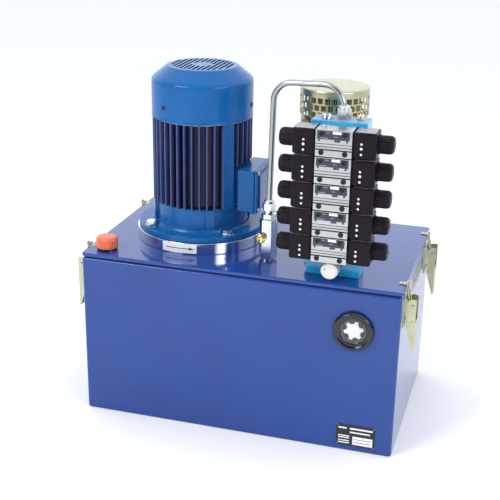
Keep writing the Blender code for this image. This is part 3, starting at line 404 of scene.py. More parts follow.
def surface(name, colour, roughness, metallic=0.0, size=60, spread=0.1, tint=None, rough_spread=0.05,
            grain=900, bump=0.1, depth=0.0003, stretch=(1, 1, 1), **sockets):
    """Principled finish whose colour drifts over patches, whose roughness varies with wear, and whose bump
    has the grain of the real surface. Size and grain are waves per metre."""
    made = bpy.data.materials.new(name)
    made.use_nodes = True
    made.diffuse_color = (*colour, 1)
    tree, links = made.node_tree, made.node_tree.links
    shader = tree.nodes["Principled BSDF"]
    place = add_node(tree, "TexCoord").outputs["Object"]
    mapped = add_node(tree, "Mapping", [("Vector", place), ("Scale", stretch)]).outputs["Vector"]

    def noise(scale, detail, low, high):
        texture = add_node(tree, "TexNoise", [("Vector", mapped), ("Scale", scale), ("Detail", detail)])
        return add_node(tree, "MapRange", [("Value", texture.outputs["Fac"]), ("From Min", 0.3),
                                           ("From Max", 0.7), ("To Min", low),
                                           ("To Max", high)]).outputs["Result"]

    other = (*tint, 1) if tint else shade(colour, 1 + spread)
    mix = add_node(tree, "Mix", [(6, shade(colour, 1 - spread)), (7, other)], data_type="RGBA")
    links.new(noise(size, 5, 0, 1), mix.inputs[0])
    links.new(mix.outputs[2], shader.inputs["Base Color"])
    links.new(noise(size * 4, 6, max(0.02, roughness - rough_spread), roughness + rough_spread),
              shader.inputs["Roughness"])
    height = add_node(tree, "Bump", [("Strength", bump), ("Distance", depth)])
    links.new(noise(grain, 3, 0, 1), height.inputs["Height"])
    links.new(height.outputs["Normal"], shader.inputs["Normal"])
    shader.inputs["Metallic"].default_value = metallic
    for socket, value in sockets.items():
        shader.inputs[socket.replace("_", " ").title().replace("Ior", "IOR")].default_value = value
    return made


def paint_shade_inward(finish, x, y, inner, outer, dark):
    """Takes a finish towards a dark colour near an upright axis: painted shade between the fins."""
    tree = finish.node_tree
    colour = tree.nodes["Principled BSDF"].inputs["Base Color"]
    place = add_node(tree, "TexCoord").outputs["Object"]
    offset = add_node(tree, "VectorMath", [(0, place), (1, (x, y, 0))], operation="SUBTRACT")
    flat = add_node(tree, "VectorMath", [(0, offset.outputs["Vector"]), (1, (1, 1, 0))],
                    operation="MULTIPLY")
    length = add_node(tree, "VectorMath", [(0, flat.outputs["Vector"])], operation="LENGTH")
    share = add_node(tree, "MapRange", [("Value", length.outputs["Value"]), ("From Min", inner),
                                        ("From Max", outer)])
    mix = add_node(tree, "Mix", [(0, share.outputs["Result"]), (6, (*dark, 1)),
                                 (7, colour.links[0].from_socket)], data_type="RGBA")
    tree.links.new(mix.outputs[2], colour)


TANK = surface("tank_enamel", (0.014, 0.056, 0.27), 0.1, size=7, spread=0.06, grain=260, depth=0.0004,
               specular_ior_level=0.3, coat_weight=0.35, coat_roughness=0.04)
MOTOR = surface("motor_enamel", (0.003, 0.105, 0.34), 0.26, size=14, grain=420, bump=0.16, depth=0.0005,
                specular_ior_level=0.22, coat_weight=0.12, coat_roughness=0.1)
FINNED = surface("finned_enamel", (0.05, 0.1, 0.29), 0.34, size=22, spread=0.12,
                 tint=(0.095, 0.115, 0.26), grain=420, bump=0.16, depth=0.0005, specular_ior_level=0.3)
# Painted shade: the fins' finish turns dark towards their roots, near the motor's axis.
paint_shade_inward(FINNED, -0.1232, 0.0, 0.084, 0.0935, (0.02, 0.018, 0.085))
MANIFOLD = surface("manifold_enamel", (0.014, 0.4, 0.76), 0.26, size=20, spread=0.08, grain=500,
                   specular_ior_level=0.5, coat_weight=0.6, coat_roughness=0.1)
# Paler, greyer finish for the manifold's top face: painted sheen in place of the bright reflection that lies
# on it.
MANIFOLD_TOP_PAINTED_SHEEN = surface("manifold_top_painted_sheen", (0.24, 0.33, 0.42), 0.4, size=30, spread=0.12, grain=500,
                       bump=0.14, specular_ior_level=0.4)
RING = surface("turned_ring", (0.78, 0.79, 0.82), 0.1, 1, size=40, spread=0.06, rough_spread=0.04,
               bump=0.05, stretch=(0.25, 0.25, 8))
ALUMINIUM = surface("cast_aluminium", (0.58, 0.58, 0.6), 0.42, 1, spread=0.12, grain=1400, bump=0.25)
VALVE = surface("ground_aluminium", (0.5, 0.52, 0.51), 0.32, 1, size=50, spread=0.08, grain=1500,
                bump=0.08, stretch=(0.15, 1, 4))
STEEL = surface("ground_steel", (0.5, 0.51, 0.53), 0.32, 1, spread=0.12, grain=1600)
TUBE = surface("drawn_tube", (0.4, 0.42, 0.42), 0.3, 1, size=50, spread=0.08, grain=1500, bump=0.06,
               stretch=(4, 4, 0.3))
ZINC = surface("bright_zinc", (0.68, 0.7, 0.69), 0.18, 1, size=90, tint=(0.62, 0.66, 0.72), grain=1400)
YELLOW = surface("yellow_zinc", (0.55, 0.51, 0.32), 0.32, 1, size=70, tint=(0.5, 0.54, 0.38),
                 rough_spread=0.08, grain=1300)
BRASS = surface("brass", (0.86, 0.64, 0.26), 0.24, 1, size=120, spread=0.12, grain=1800, bump=0.08)
BLACK_SCREW = surface("blackened_screw", (0.02, 0.02, 0.024), 0.38, 0.4, size=200, spread=0.25,
                      grain=2200)
IRON = surface("cast_iron", (0.1, 0.1, 0.11), 0.65, 0.6, spread=0.25, bump=0.5)
COPPER = surface("winding_copper", (0.6, 0.28, 0.14), 0.42, 1, size=80, spread=0.2, bump=0.3,
                 stretch=(1, 1, 3))
COIL = surface("coil_moulding", (0.008, 0.0045, 0.009), 0.34, spread=0.25, grain=1100, bump=0.2,
               specular_ior_level=0.16)
# Pale finish for a strip on each coil's top face: painted sheen in place of the light reflected there.
COIL_TOP_PAINTED_SHEEN = surface("coil_top_painted_sheen", (0.23, 0.205, 0.25), 0.26, spread=0.15, grain=1100, bump=0.06,
                   specular_ior_level=0.6)
GLOSS_BLACK = surface("gloss_black", (0.006, 0.007, 0.018), 0.1, spread=0.2, bump=0.05, coat_weight=0.2,
                      coat_roughness=0.04)
FAN_BLACK = surface("fan_plastic", (0.016, 0.022, 0.026), 0.5, size=50, spread=0.2, grain=800, bump=0.2)
RED = surface("red_plastic", (0.62, 0.12, 0.045), 0.36, size=90, spread=0.07, tint=(0.9, 0.19, 0.07),
              grain=1100, bump=0.12, coat_weight=0.2)
KNOB = surface("white_knob", (0.68, 0.68, 0.67), 0.34, 0.2, size=120, spread=0.05, grain=1400)
RUBBER = surface("black_rubber", (0.004, 0.004, 0.006), 0.8, spread=0.25, bump=0.3)
GLASS = surface("sight_window", (0.86, 0.93, 0.93), 0.05, spread=0.03, rough_spread=0.02, grain=300,
                bump=0.02, alpha=0.05)
SILVER = surface("silver_reflector", (0.8, 0.8, 0.82), 0.34, 0.2, size=150, spread=0.08, grain=1500)
PLATE = surface("plate_print", (0.042, 0.042, 0.075), 0.42, 0.2, size=120, spread=0.2, grain=1500,
                bump=0.06)
WHITE = surface("white_print", (0.84, 0.85, 0.86), 0.42, size=120, spread=0.05, grain=1500, bump=0.05)
SHADOW = surface("groove_shade", (0.055, 0.06, 0.06), 0.5, size=120, spread=0.2, grain=1500, bump=0.05)
BLACK = surface("black_print", (0.012, 0.014, 0.018), 0.36, size=120, spread=0.25, grain=1500, bump=0.05)
PAPER = surface("filter_paper", (0.5, 0.42, 0.26), 0.85, size=120, spread=0.14, grain=1600, bump=0.4)
GAUZE = surface("strainer_gauze", (0.62, 0.62, 0.58), 0.45, 1, size=200, spread=0.25, bump=0.8, depth=0.001)


# ---- Pieces ----

def piece(name, parts, replaces=(), body="power_unit", smooth=38, place=(0, 0)):
    """Adds one piece from (mesh, finish) parts, moved to a place. It rides on a CAD body and may stand for
    CAD nodes."""
    bm = bmesh.new()
    finishes = []
    for mesh, finish in parts:
        at(mesh, *place)
        if finish not in finishes:
            finishes.append(finish)
        start = len(bm.faces)
        bm.from_mesh(mesh)
        bm.faces.ensure_lookup_table()
        for face in bm.faces[start:]:
            face.material_index = finishes.index(finish)
    mesh = bpy.data.meshes.new(name)
    bm.to_mesh(mesh)
    bm.free()
    for finish in finishes:
        mesh.materials.append(finish)
    mesh.shade_smooth()
    mesh.set_sharp_from_angle(angle=math.radians(smooth))
    obj = bpy.data.objects.new(name, mesh)
    link(obj)
    obj.modifiers.new("weighted normals", "WEIGHTED_NORMAL").keep_sharp = True
    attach(obj, body)
    if replaces:
        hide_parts(*replaces)


def finish_nodes():
    """Finishes of the CAD nodes that stay, hidden in the tank, the motor and the valves."""
    spools = [f"valve_spool_{row}" for row in ROWS]
    for finish, nodes in (
            (ALUMINIUM, ["motor_rear_shield", "coupling_motor_hub", "coupling_pump_hub"]),
            (COPPER, ["motor_stator"]), (FAN_BLACK, ["fan"]), (IRON, ["pump_body", "pump_cover"]),
            (STEEL, ["motor_rotor", "pump_drive_gear", "pump_idler_gear", "delivery_pipe"] + spools),
            (GAUZE, ["suction_strainer"])):
        for node in nodes:
            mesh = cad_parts[node].data
            mesh.materials.clear()
            mesh.materials.append(finish)


def bolt(flats, height, washer):
    """Hexagon head on a washer, standing on height 0."""
    return [hex_solid(flats, washer, washer + height, chamfer_low=False),
            rod(flats * 0.64, 0, washer, 32, 0.0003)]


def socket_screw(radius, height):
    """Cap head with a hexagon socket, standing on height 0."""
    head = lathe([(0, 0), (radius, 0), (radius, height), (0, height)], 32, 0.0004,
                 (20, radius * 0.05, radius * 0.95))
    return carved(head, [hex_solid(radius * 0.95, height * 0.3, height + 0.01, False, False, 36)])


def pan_head(radius, height):
    """Domed head with a cross slot, standing on height 0."""
    head = lathe([(0, 0), (radius, 0), (radius, height * 0.45), (radius * 0.8, height * 0.85), (0, height)],
                 28, radius * 0.2)
    arm, wide = radius * 0.62, radius * 0.12
    return carved(head, [block(-arm, arm, -wide, wide, height * 0.4, height + 0.01),
                         block(-wide, wide, -arm, arm, height * 0.42, height + 0.011)])


def port_plug(flats, height):
    """Screwed plug with a collar and a hexagon socket, standing on height 0."""
    head = lathe([(0, 0), (flats * 0.62, 0), (flats * 0.62, height * 0.5), (flats * 0.5, height),
                  (0, height)], 36, 0.0005)
    return carved(head, [hex_solid(flats * 0.5, height * 0.35, height + 0.01, False, False, 36)])


def rivet(foot, rim, rim_height, height, steps, soft=0.0003):
    return lathe([(0, 0), (foot, 0), (rim, rim_height), (0, height)], steps, soft)


# ---- Tank, lid and what is on their walls ----

def on_side(meshes, side, y):
    """Finished shapes made for the right wall at y 0, moved to a place along either wall."""
    for mesh in meshes:
        if side < 0:
            mirrored(mesh)
        at(mesh, y=y)
    return [(mesh, YELLOW) for mesh in meshes]


def latch_bracket(side, y):
    """Zinc plate on the side wall with two ears and their rivets."""
    ear = [(WALL_X, PIVOT_Z - 0.014)]
    for step in range(9):
        angle = math.radians(-90 + 22.5 * step)
        ear.append((PIVOT_X + EAR_RADIUS * math.cos(angle), PIVOT_Z + EAR_RADIUS * math.sin(angle)))
    ear.append((WALL_X, PIVOT_Z + 0.012))
    made = [block(WALL_X - 0.0005, WALL_X + BRACKET_FACE, -0.016, 0.016, PIVOT_Z - 0.043, PIVOT_Z + 0.013,
                  0.0006)]
    for hand in (-1, 1):
        ends = sorted((hand * (EAR_OUTER - EAR_SHEET), hand * EAR_OUTER))
        made.append(side_prism(ear, *ends, 0.0003))
        stub = forward(rod(0.002, -0.0022, 0.0022, 20, 0.0004))
        made.append(at(stub, PIVOT_X, hand * 0.014, PIVOT_Z))
        for height in (-0.034, 0.004):
            head = sideways(rivet(0.0028, 0.002, 0.0009, 0.0012, 20))
            made.append(at(head, WALL_X + BRACKET_FACE, hand * 0.0095, PIVOT_Z + height))
    return on_side(made, side, y)


def latch_keeper(side, y):
    """Bent strap on the lid, whose upturned lip holds the bail."""
    lip = HOOK_X + BAIL_WIRE + 0.0021
    outline = [(KEEPER_IN, LID_TOP - 0.0005), (lip + 0.0015, LID_TOP - 0.0005), (lip + 0.0015, KEEPER_LIP),
               (lip, KEEPER_LIP), (lip, KEEPER_TOP), (KEEPER_IN, KEEPER_TOP)]
    head = at(rivet(0.0027, 0.0019, 0.001, 0.0013, 20), KEEPER_IN + 0.0055, 0, KEEPER_TOP)
    return on_side([side_prism(outline, -KEEPER_HALF, KEEPER_HALF, 0.0004), head], side, y)


def latch_places():
    for side, side_name in ((1, "right"), (-1, "left")):
        for y, end_name in ((-LATCH_Y, "front"), (LATCH_Y, "rear")):
            yield side, y, end_name + "_" + side_name


def inset(by, z, radius=CORNER):
    """Loop for rounded_loops that lies a distance inside the tank's walls."""
    return WALL_X - by, WALL_Y - by, z, radius


def make_tank():
    shell = rounded_loops([
        inset(0.003, 0, 0.0045), inset(0.0009, 0.0009, 0.0055), inset(0, 0.003),
        inset(0, RIM_TOP - 0.0034), inset(0.0004, RIM_TOP - 0.0018), inset(0.0014, RIM_TOP - 0.0006),
        inset(0.003, RIM_TOP), inset(RIM_REACH, RIM_TOP, INNER_CORNER),
        inset(RIM_REACH, RIM_BOTTOM, INNER_CORNER), inset(WALL, RIM_BOTTOM, INNER_CORNER),
        inset(WALL, FLOOR, INNER_CORNER),
    ], ring=False)
    glass = centre("sight_glass_window")
    hole = at(forward(rod(0.0255, -0.01, 0.01, 48)), glass.x, -WALL_Y, glass.z)
    parts = [(carved(shell, [hole]), TANK)]
    for side, y, _ in latch_places():
        parts += latch_bracket(side, y)
    piece("tank_shell", parts, ["tank"])
    low, high = RIM_TOP + 0.0003, LID_BOTTOM - 0.0003
    strip = rounded_loops([
        inset(0.0036, low), inset(0.0036, high), inset(RIM_REACH - 0.001, high, INNER_CORNER),
        inset(RIM_REACH - 0.001, low, INNER_CORNER),
    ], ring=True)
    piece("gasket_strip", [(strip, RUBBER)], ["lid_gasket"])


def make_lid():
    plate = rounded_loops([
        inset(0.001, LID_BOTTOM), inset(0, LID_BOTTOM + 0.001), inset(0, LID_TOP - 0.0016),
        inset(0.0005, LID_TOP - 0.0005), inset(0.0016, LID_TOP),
    ], ring=False)
    holes = []
    for node, radius in (("bellhousing", 0.081), ("filler_neck", 0.0147), ("breather_riser", 0.014),
                         ("check_valve_body", 0.008)):
        middle = centre(node)
        holes.append(at(rod(radius, LID_BOTTOM - 0.01, LID_TOP + 0.01, 64), *middle.xy))
    parts = [(carved(plate, holes), TANK)]
    for side, y, _ in latch_places():
        parts += latch_keeper(side, y)
    piece("lid_plate", parts, ["lid"])


def make_sight_glass():
    """Turned bezel, clear window and a six-pointed reflector behind it, heights forward from the wall."""
    middle = centre("sight_glass_window")

    def add(name, parts, nodes=()):
        for mesh, _ in parts:
            forward(mesh)
        piece(name, parts, nodes, place=(middle.x, -WALL_Y, middle.z))

    bezel = lathe([
        (0.025, -0.012), (0.025, 0.0003), (0.037, 0.0003), (0.037, 0.0052), (0.0345, 0.009),
        (0.0305, 0.0092), (0.028, 0.0074), (0.024, 0.0072), (0.0238, 0.002), (0.0195, 0.002),
        (0.0195, -0.012),
    ], 96, 0.0012)
    nut = lathe([(0.0252, -0.011), (0.033, -0.011), (0.033, -0.004), (0.0252, -0.004)], 6, 0.0006)
    add("sight_glass_bezel", [(bezel, GLOSS_BLACK), (nut, STEEL)], ["sight_glass_body"])
    lens = lathe([(0, 0.0023), (0.0235, 0.0023), (0.0235, 0.006), (0.0215, 0.0066), (0, 0.0068)], 72,
                 0.0004)
    add("sight_glass_lens", [(lens, GLASS)], ["sight_glass_window"])
    star = []
    notch, notch_out, reach, points = 0.0064, 0.019, 0.0188, 6
    for k in range(points):
        turned = math.tau * (k + 0.5) / points
        for step in range(9):
            angle = turned + math.radians(252 - 18 * step)
            star.append((notch_out * math.cos(turned) + notch * math.cos(angle),
                         notch_out * math.sin(turned) + notch * math.sin(angle)))
    star = [point for point in star if math.hypot(*point) < reach]
    reflector = turn(prism(star, -0.001, 0.001, 0.0003, 60), 12)
    hub = lathe([(0, 0.001), (0.0042, 0.001), (0.0036, 0.0014), (0.001, 0.0014), (0, 0.0008)], 24)
    parts = [(reflector, SILVER), (hub, SILVER), (rod(0.0193, -0.004, -0.0022, 48, 0.0003), BLACK)]
    for k in range(points):
        well = lathe([(0, -0.0022), (0.0056, -0.0022), (0.0052, -0.0014), (0, -0.0014)], 24, 0.0002)
        parts.append((turn(at(well, 0.0142), 60 * k + 42), COIL))
    add("sight_glass_reflector", parts)


def make_rating_plate():
    """Plain plate at the front wall's lower right corner with blank fields and rivets, and no lettering."""
    x0, x1, z0, z1 = PLATE_EDGES
    face, wide = -WALL_Y - HAIR, (x1 - x0) / PLATE_DRAWN
    parts = [(block(x0, x1, face - 0.0006, face, z0, z1, 0.0002), BLACK)]

    def mark(start, stop, low, high, finish=WHITE, lift=0.0008):
        parts.append((block(x0 + start * wide, x0 + stop * wide, face - lift, face - lift + 0.0004, z0 + low,
                            z0 + high), finish))

    mark(0.0275, 0.0605, 0.0035, 0.0205)
    for low in (0.0045, 0.009, 0.015, 0.019):
        mark(0.0035, 0.022, low, low + 0.0022)
    mark(0.0035, 0.017, 0.0345, 0.0375)
    mark(0.0225, 0.06, 0.0345, 0.0378)
    mark(0.0225, 0.056, 0.027, 0.03, SILVER)
    for low in (0.0085, 0.0145):
        mark(0.0295, 0.058, low, low + 0.0008, BLACK, 0.001)
    for x in (x0 + 0.0018, x1 - 0.0018):
        for z in (z0 + 0.0018, z1 - 0.0018):
            head = forward(rivet(0.001, 0.0007, 0.0005, 0.0006, 14, 0))
            parts.append((at(head, x, face - 0.0006, z), ZINC))
    piece("rating_plate", parts)


# ---- Motor ----

def make_bellhousing():
    middle = centre("bellhousing")
    low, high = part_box("bellhousing")
    ring = (high.x - low.x) / 2
    body = lathe([
        (0.026, low.z), (0.08, low.z), (0.08, LID_TOP + 0.0003), (ring, LID_TOP + 0.0003),
        (ring, high.z), (0.074, high.z), (0.074, low.z + 0.008), (0.026, low.z + 0.008),
    ], 128, 0.0009)
    window = block(-0.15, 0.15, -0.028, 0.028, 0.225, 0.285)
    ring_parts = [(carved(body, [window]), RING)]
    piece("bellhousing_ring", ring_parts, ["bellhousing"], place=middle.xy)

    def on_ring(outline, lift, thick):
        """Thin plate wrapped on the ring, from (degrees from the front, height) points."""
        bm = bmesh.new()
        rows = []
        for radius in (ring + lift, ring + lift + thick):
            rows.append([bm.verts.new((middle.x + radius * math.sin(math.radians(degrees)),
                                       middle.y - radius * math.cos(math.radians(degrees)), z))
                         for degrees, z in outline])
            bm.faces.new(rows[-1])
        bridge(bm, *rows)
        return mesh_of(bm)

    def band(start, stop, z0, z1):
        edge = [start, (start + stop) / 2, stop]
        return [(degrees, z0) for degrees in edge] + [(degrees, z1) for degrees in reversed(edge)]

    parts = []
    wide = LABEL_SPREAD / LABEL_STRIPS
    for k in range(LABEL_STRIPS):
        start = LABEL_START + wide * k
        parts.append((on_ring(band(start, start + wide, LABEL_LOW, LABEL_HIGH), HAIR, 0.0003), WHITE))
        if 0 < k < LABEL_STRIPS - 1:
            shaft = band(start - 0.6, start + wide - 0.6, 0.3347, 0.3359)
            parts.append((on_ring(shaft, HAIR * 3, 0.0003), BLACK))
    parts.append((on_ring([(7.5, 0.333), (12.0, 0.3353), (7.5, 0.3376)], HAIR * 3, 0.0004), BLACK))
    piece("direction_label", parts)


def make_motor_flange():
    low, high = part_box("motor_flange")
    middle = centre("motor_flange")
    face, edge = FLANGE_FACE, (high.x - low.x) / 2
    shield = lathe([
        (FLANGE_BORE, low.z), (edge, low.z), (edge, face), (0.0979, face), (0.0954, face + 0.0055),
        (SPIGOT, face + 0.006), (SPIGOT, high.z), (0.076, high.z), (0.076, face + 0.01),
        (FLANGE_BORE, face + 0.01),
    ], 128, 0.0016)

    def at_bolt(mesh, k):
        return turn(at(mesh, 0, -FLANGE_BOLTS, face - 0.0003), 45 + 90 * k)

    pockets = [at_bolt(rod(0.0138, 0, 0.0403, 32), k) for k in range(4)]
    parts = [(carved(shield, pockets), MOTOR)]
    for k in range(4):
        lug = block(-0.009, 0.009, -0.0938, -0.08, face - 0.001, high.z, 0.0022, 3)
        parts.append((turn(lug, LUG_TURN + 90 * k), MOTOR))
        parts += [(at_bolt(mesh, k), ZINC) for mesh in bolt(0.018, 0.0075, 0.0022)]
    piece("motor_flange_casting", parts, ["motor_flange"], place=middle.xy)


def make_motor_frame():
    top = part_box("motor_housing")[1].z
    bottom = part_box("motor_flange")[1].z + 0.0003
    middle = centre("fan_cowl")
    fins = [(angle, FIN_THICK / 2, FIN_TIP, 0) for angle in FIN_ANGLES]
    fins += [(side * PAD_ANGLE % 360, PAD_THICK / 2, FIN_TIP - 0.0004, 0.12) for side in (-1, 1)]
    outline = []
    for degrees, half, tip, square in sorted(fins):
        for radius, side in ((FIN_ROOT, -1), (FIN_ROOT + 0.003, -0.86), (tip - 0.0013, -0.8), (tip, -0.45),
                             (tip, 0.45), (tip - 0.0013, 0.8), (FIN_ROOT + 0.003, 0.86), (FIN_ROOT, 1)):
            share = math.copysign(min(1, abs(side) + square), side)
            angle = math.radians(degrees) + share * half * 1.12 / radius
            outline.append((radius * math.cos(angle), radius * math.sin(angle)))
    finned = prism(outline, bottom, top)
    rise = 0.2 * math.tan(math.radians(30))
    beside = carved(prism([(0, 0), (0.2, -rise), (0.2, rise)], bottom - 0.01, BOX_FOOT),
                    [rod(FIN_ROOT, bottom - 0.02, top, 72)])
    finned = carved(finned, [beside, rod(FRAME_BORE, bottom - 0.01, top + 0.01, 64)])
    low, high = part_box("terminal_box_lid")
    back = BOX_BACK - middle.x
    box = block(back, low.x - 0.0003 - middle.x, -0.05, 0.05, low.z + 0.001, high.z - 0.001, 0.0028, 3)
    box = carved(box, [rod(0.0948, low.z - 0.01, bottom, 96)])
    neck = block(0.06, back + 0.002, -0.04, 0.04, bottom + 0.0005, high.z - 0.004, 0.002)
    parts = [(finned, FINNED), (box, MOTOR), (neck, MOTOR)]
    for side in (-1, 1):
        skin = block(FIN_TIP - 0.0016, FIN_TIP - 0.0001, 0.0003 - PAD_THICK / 2, PAD_THICK / 2 - 0.0003,
                     bottom + 0.0004, top - 0.001, 0.0004)
        parts.append((turn(skin, side * PAD_ANGLE), MOTOR))
    piece("motor_frame", parts, ["motor_housing"], smooth=50, place=middle.xy)


def make_terminal_cover():
    low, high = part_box("terminal_box_lid")
    plate, border, screw_in = low.x + 0.0055, 0.009, 0.006
    parts = [(block(low.x, plate, low.y, high.y, low.z, high.z, 0.0018, 3), MOTOR),
             (block(low.x + 0.004, high.x - 0.001, low.y + border, high.y - border, low.z + border,
                    high.z - border, 0.002, 3), MOTOR)]
    for y in (low.y + screw_in, high.y - screw_in):
        for z in (low.z + screw_in, high.z - screw_in):
            parts.append((at(sideways(pan_head(0.0038, 0.0026)), plate, y, z), ZINC))
    piece("terminal_box_cover", parts, ["terminal_box_lid"])


def make_cowl():
    low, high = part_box("fan_cowl")
    middle = centre("fan_cowl")
    radius = (high.x - low.x) / 2
    outer = [(0, high.z + 0.0002), *COWL_SHOULDER, (radius, low.z + 0.004),
             (radius + 0.0006, low.z + 0.002), (radius + 0.0002, low.z)]
    inner = [(radius - COWL_WALL, low.z), *((r - COWL_WALL, z - COWL_WALL) for r, z in COWL_SHOULDER[::-1]),
             (0, high.z - COWL_WALL)]
    slots = []
    for index in range(SLOTS):
        x = (index - (SLOTS - 1) / 2) * SLOT_PITCH
        reach = math.sqrt(GRILLE_RADIUS ** 2 - x ** 2)
        blank = math.sqrt(max(GRILLE_BLANK ** 2 - x ** 2, 0))
        for y0, y1 in ([(-reach, -blank), (blank, reach)] if blank else [(-reach, reach)]):
            slots.append(block(x - SLOT_WIDTH / 2, x + SLOT_WIDTH / 2, y0, y1, high.z - 0.01, high.z + 0.01))
    parts = [(carved(lathe(outer + inner, 144, 0.0022), slots), MOTOR)]
    for k in range(3):
        for mesh, sink, finish in ((pan_head(0.004, 0.0028), 0.0004, BLACK_SCREW),
                                   (rod(0.0056, -0.0004, 0.0008, 24, 0.0002), 0.0003, MOTOR)):
            at(sideways(mesh), radius - sink, 0, COWL_SCREW_Z)
            parts.append((turn(mesh, COWL_SCREW_TURN + 120 * k), finish))
    piece("cowl", parts, ["fan_cowl"], place=middle.xy)


# ---- Check valve and tube ----

def make_check_valve():
    low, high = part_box("check_valve_body")
    middle = centre("check_valve_body")
    knurl = lathe([(0, 0.008), (0.0085, 0.008), (0.0085, 0.0135), (0.006, 0.015), (0.0042, 0.0142),
                   (0.0034, 0.012), (0, 0.012)], 40, 0.0006, (24, 0.0004, 0.008))
    parts = [
        (hex_solid(0.03, low.z + 0.004, SHOULDER_Z), ZINC),
        (rod(0.0135, low.z, low.z + 0.005, 40, 0.0004), ZINC),
        (hex_solid(0.024, SHOULDER_Z - 0.0003, SHOULDER_Z + 0.01), ZINC),
        (rod(0.0092, SHOULDER_Z, high.z, 40, 0.0004), ZINC),
        (at(forward(hex_solid(0.015, 0, 0.008)), *TEST_PLUG), ZINC),
        (at(forward(knurl), *TEST_PLUG), BRASS),
    ]
    piece("check_valve", parts, ["check_valve_body"], place=middle.xy)


def make_tube():
    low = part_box("pressure_tube")[0]
    foot = centre("check_valve_body")
    end_x, end_y = TUBE_END
    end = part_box("manifold")[1].z + 0.0003
    route = [(foot.x, foot.y, low.z + 0.001), (foot.x + TUBE_LEAN, foot.y, TUBE_TOP - 0.004),
             (end_x - 0.004, end_y, TUBE_TOP + 0.003), (end_x, end_y, end + 0.001)]
    parts = [(wire(rounded_path(route, TUBE_BEND, 24), TUBE_RADIUS, 8), TUBE)]
    for x, y, z, height in ((foot.x, foot.y, low.z, 0.0197), (end_x, end_y, end, 0.0233)):
        sleeve = lathe([(0, z), (0.0096, z), (0.0096, z + height * 0.86), (0.0066, z + height),
                        (0, z + height)], 40, 0.0006)
        parts += [(at(mesh, x, y), ZINC) for mesh in (hex_solid(0.022, z, z + height * 0.72), sleeve)]
    piece("pressure_line", parts, ["pressure_tube"])


# ---- Manifold, relief valve and solenoid valves ----

def make_manifold():
    low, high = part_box("manifold")
    middle = centre("manifold")
    ports = [(middle.x + x, centre(f"valve_body_{row}").z) for row in ROWS for x in BACK_PORTS]
    wells = [at(forward(rod(0.0098, -BACK_PORT_DEPTH, BACK_PORT_DEPTH, 36)), x, high.y, z) for x, z in ports]
    body = carved(block(low.x, high.x, low.y, high.y, low.z, high.z, 0.0012, 2), wells)
    # Thin skin over the top face that carries the painted sheen.
    skin = block(low.x + 0.001, high.x - 0.001, low.y + 0.001, high.y - 0.001, high.z - 0.0006,
                 high.z + 0.0002)
    parts = [(body, MANIFOLD), (skin, MANIFOLD_TOP_PAINTED_SHEEN)]
    for x, z in ports:
        plug = turn(port_plug(0.013, 0.0034), -90, "X")
        parts.append((at(plug, x, high.y - BACK_PORT_DEPTH, z), ZINC))
    piece("manifold_block", parts, ["manifold"])
    parts = [(at(port_plug(0.015, 0.008), *TOP_PLUG, high.z), ZINC),
             (at(hex_solid(0.011, high.z, high.z + 0.005), *GAUGE_PLUG), ZINC),
             (at(rod(0.0036, high.z + 0.005, high.z + 0.009, 24, 0.0008), *GAUGE_PLUG), BRASS)]
    knurl = lathe([(0, 0.016), (0.0082, 0.016), (0.0082, 0.029), (0.006, 0.031), (0, 0.031)], 60,
                  0.0006, (20, 0.0006, 0.008))
    plug_z, coupling_z = SIDE_PORT_HEIGHTS
    for mesh, z, finish in ((port_plug(0.015, 0.006), plug_z, ZINC),
                            (hex_solid(0.015, 0, 0.01), coupling_z, ZINC),
                            (rod(0.0058, 0.01, 0.016, 28, 0.0004), coupling_z, ZINC),
                            (knurl, coupling_z, GLOSS_BLACK)):
        parts.append((at(sideways(mesh, -1), low.x, SIDE_PORT_Y, z), finish))
    piece("manifold_fittings", parts)


def make_relief():
    stem, middle = centre("relief_cartridge"), centre("relief_knob")
    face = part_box("manifold")[0].y
    parts = [(forward(hex_solid(0.024, 0.0003, 0.0095)), ZINC),
             (forward(rod(0.005, 0.007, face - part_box("relief_cartridge")[0].y, 28, 0.0006)), ZINC)]
    piece("relief_body", parts, ["relief_cartridge"], place=(stem.x, face, stem.z))
    front, back = (face - corner.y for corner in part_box("relief_knob"))
    knob = lathe([(0, back + 0.007), (0.0053, back + 0.007), (0.0053, back), (0.0145, back),
                  (0.0155, back + 0.002), (0.0155, front - 0.0022), (0.0135, front),
                  (0.011, front - 0.0006), (0, front - 0.0004)], 144, 0.0008, (36, 0.0007, 0.015))
    dot = at(rod(0.0012, front - 0.0006, front + 0.0001, 16), -0.008, 0.003)
    piece("relief_knob_grip", [(forward(knob), KNOB), (forward(dot), BLACK)], ["relief_knob"],
          body="relief_adjuster", place=(middle.x, face, middle.z))


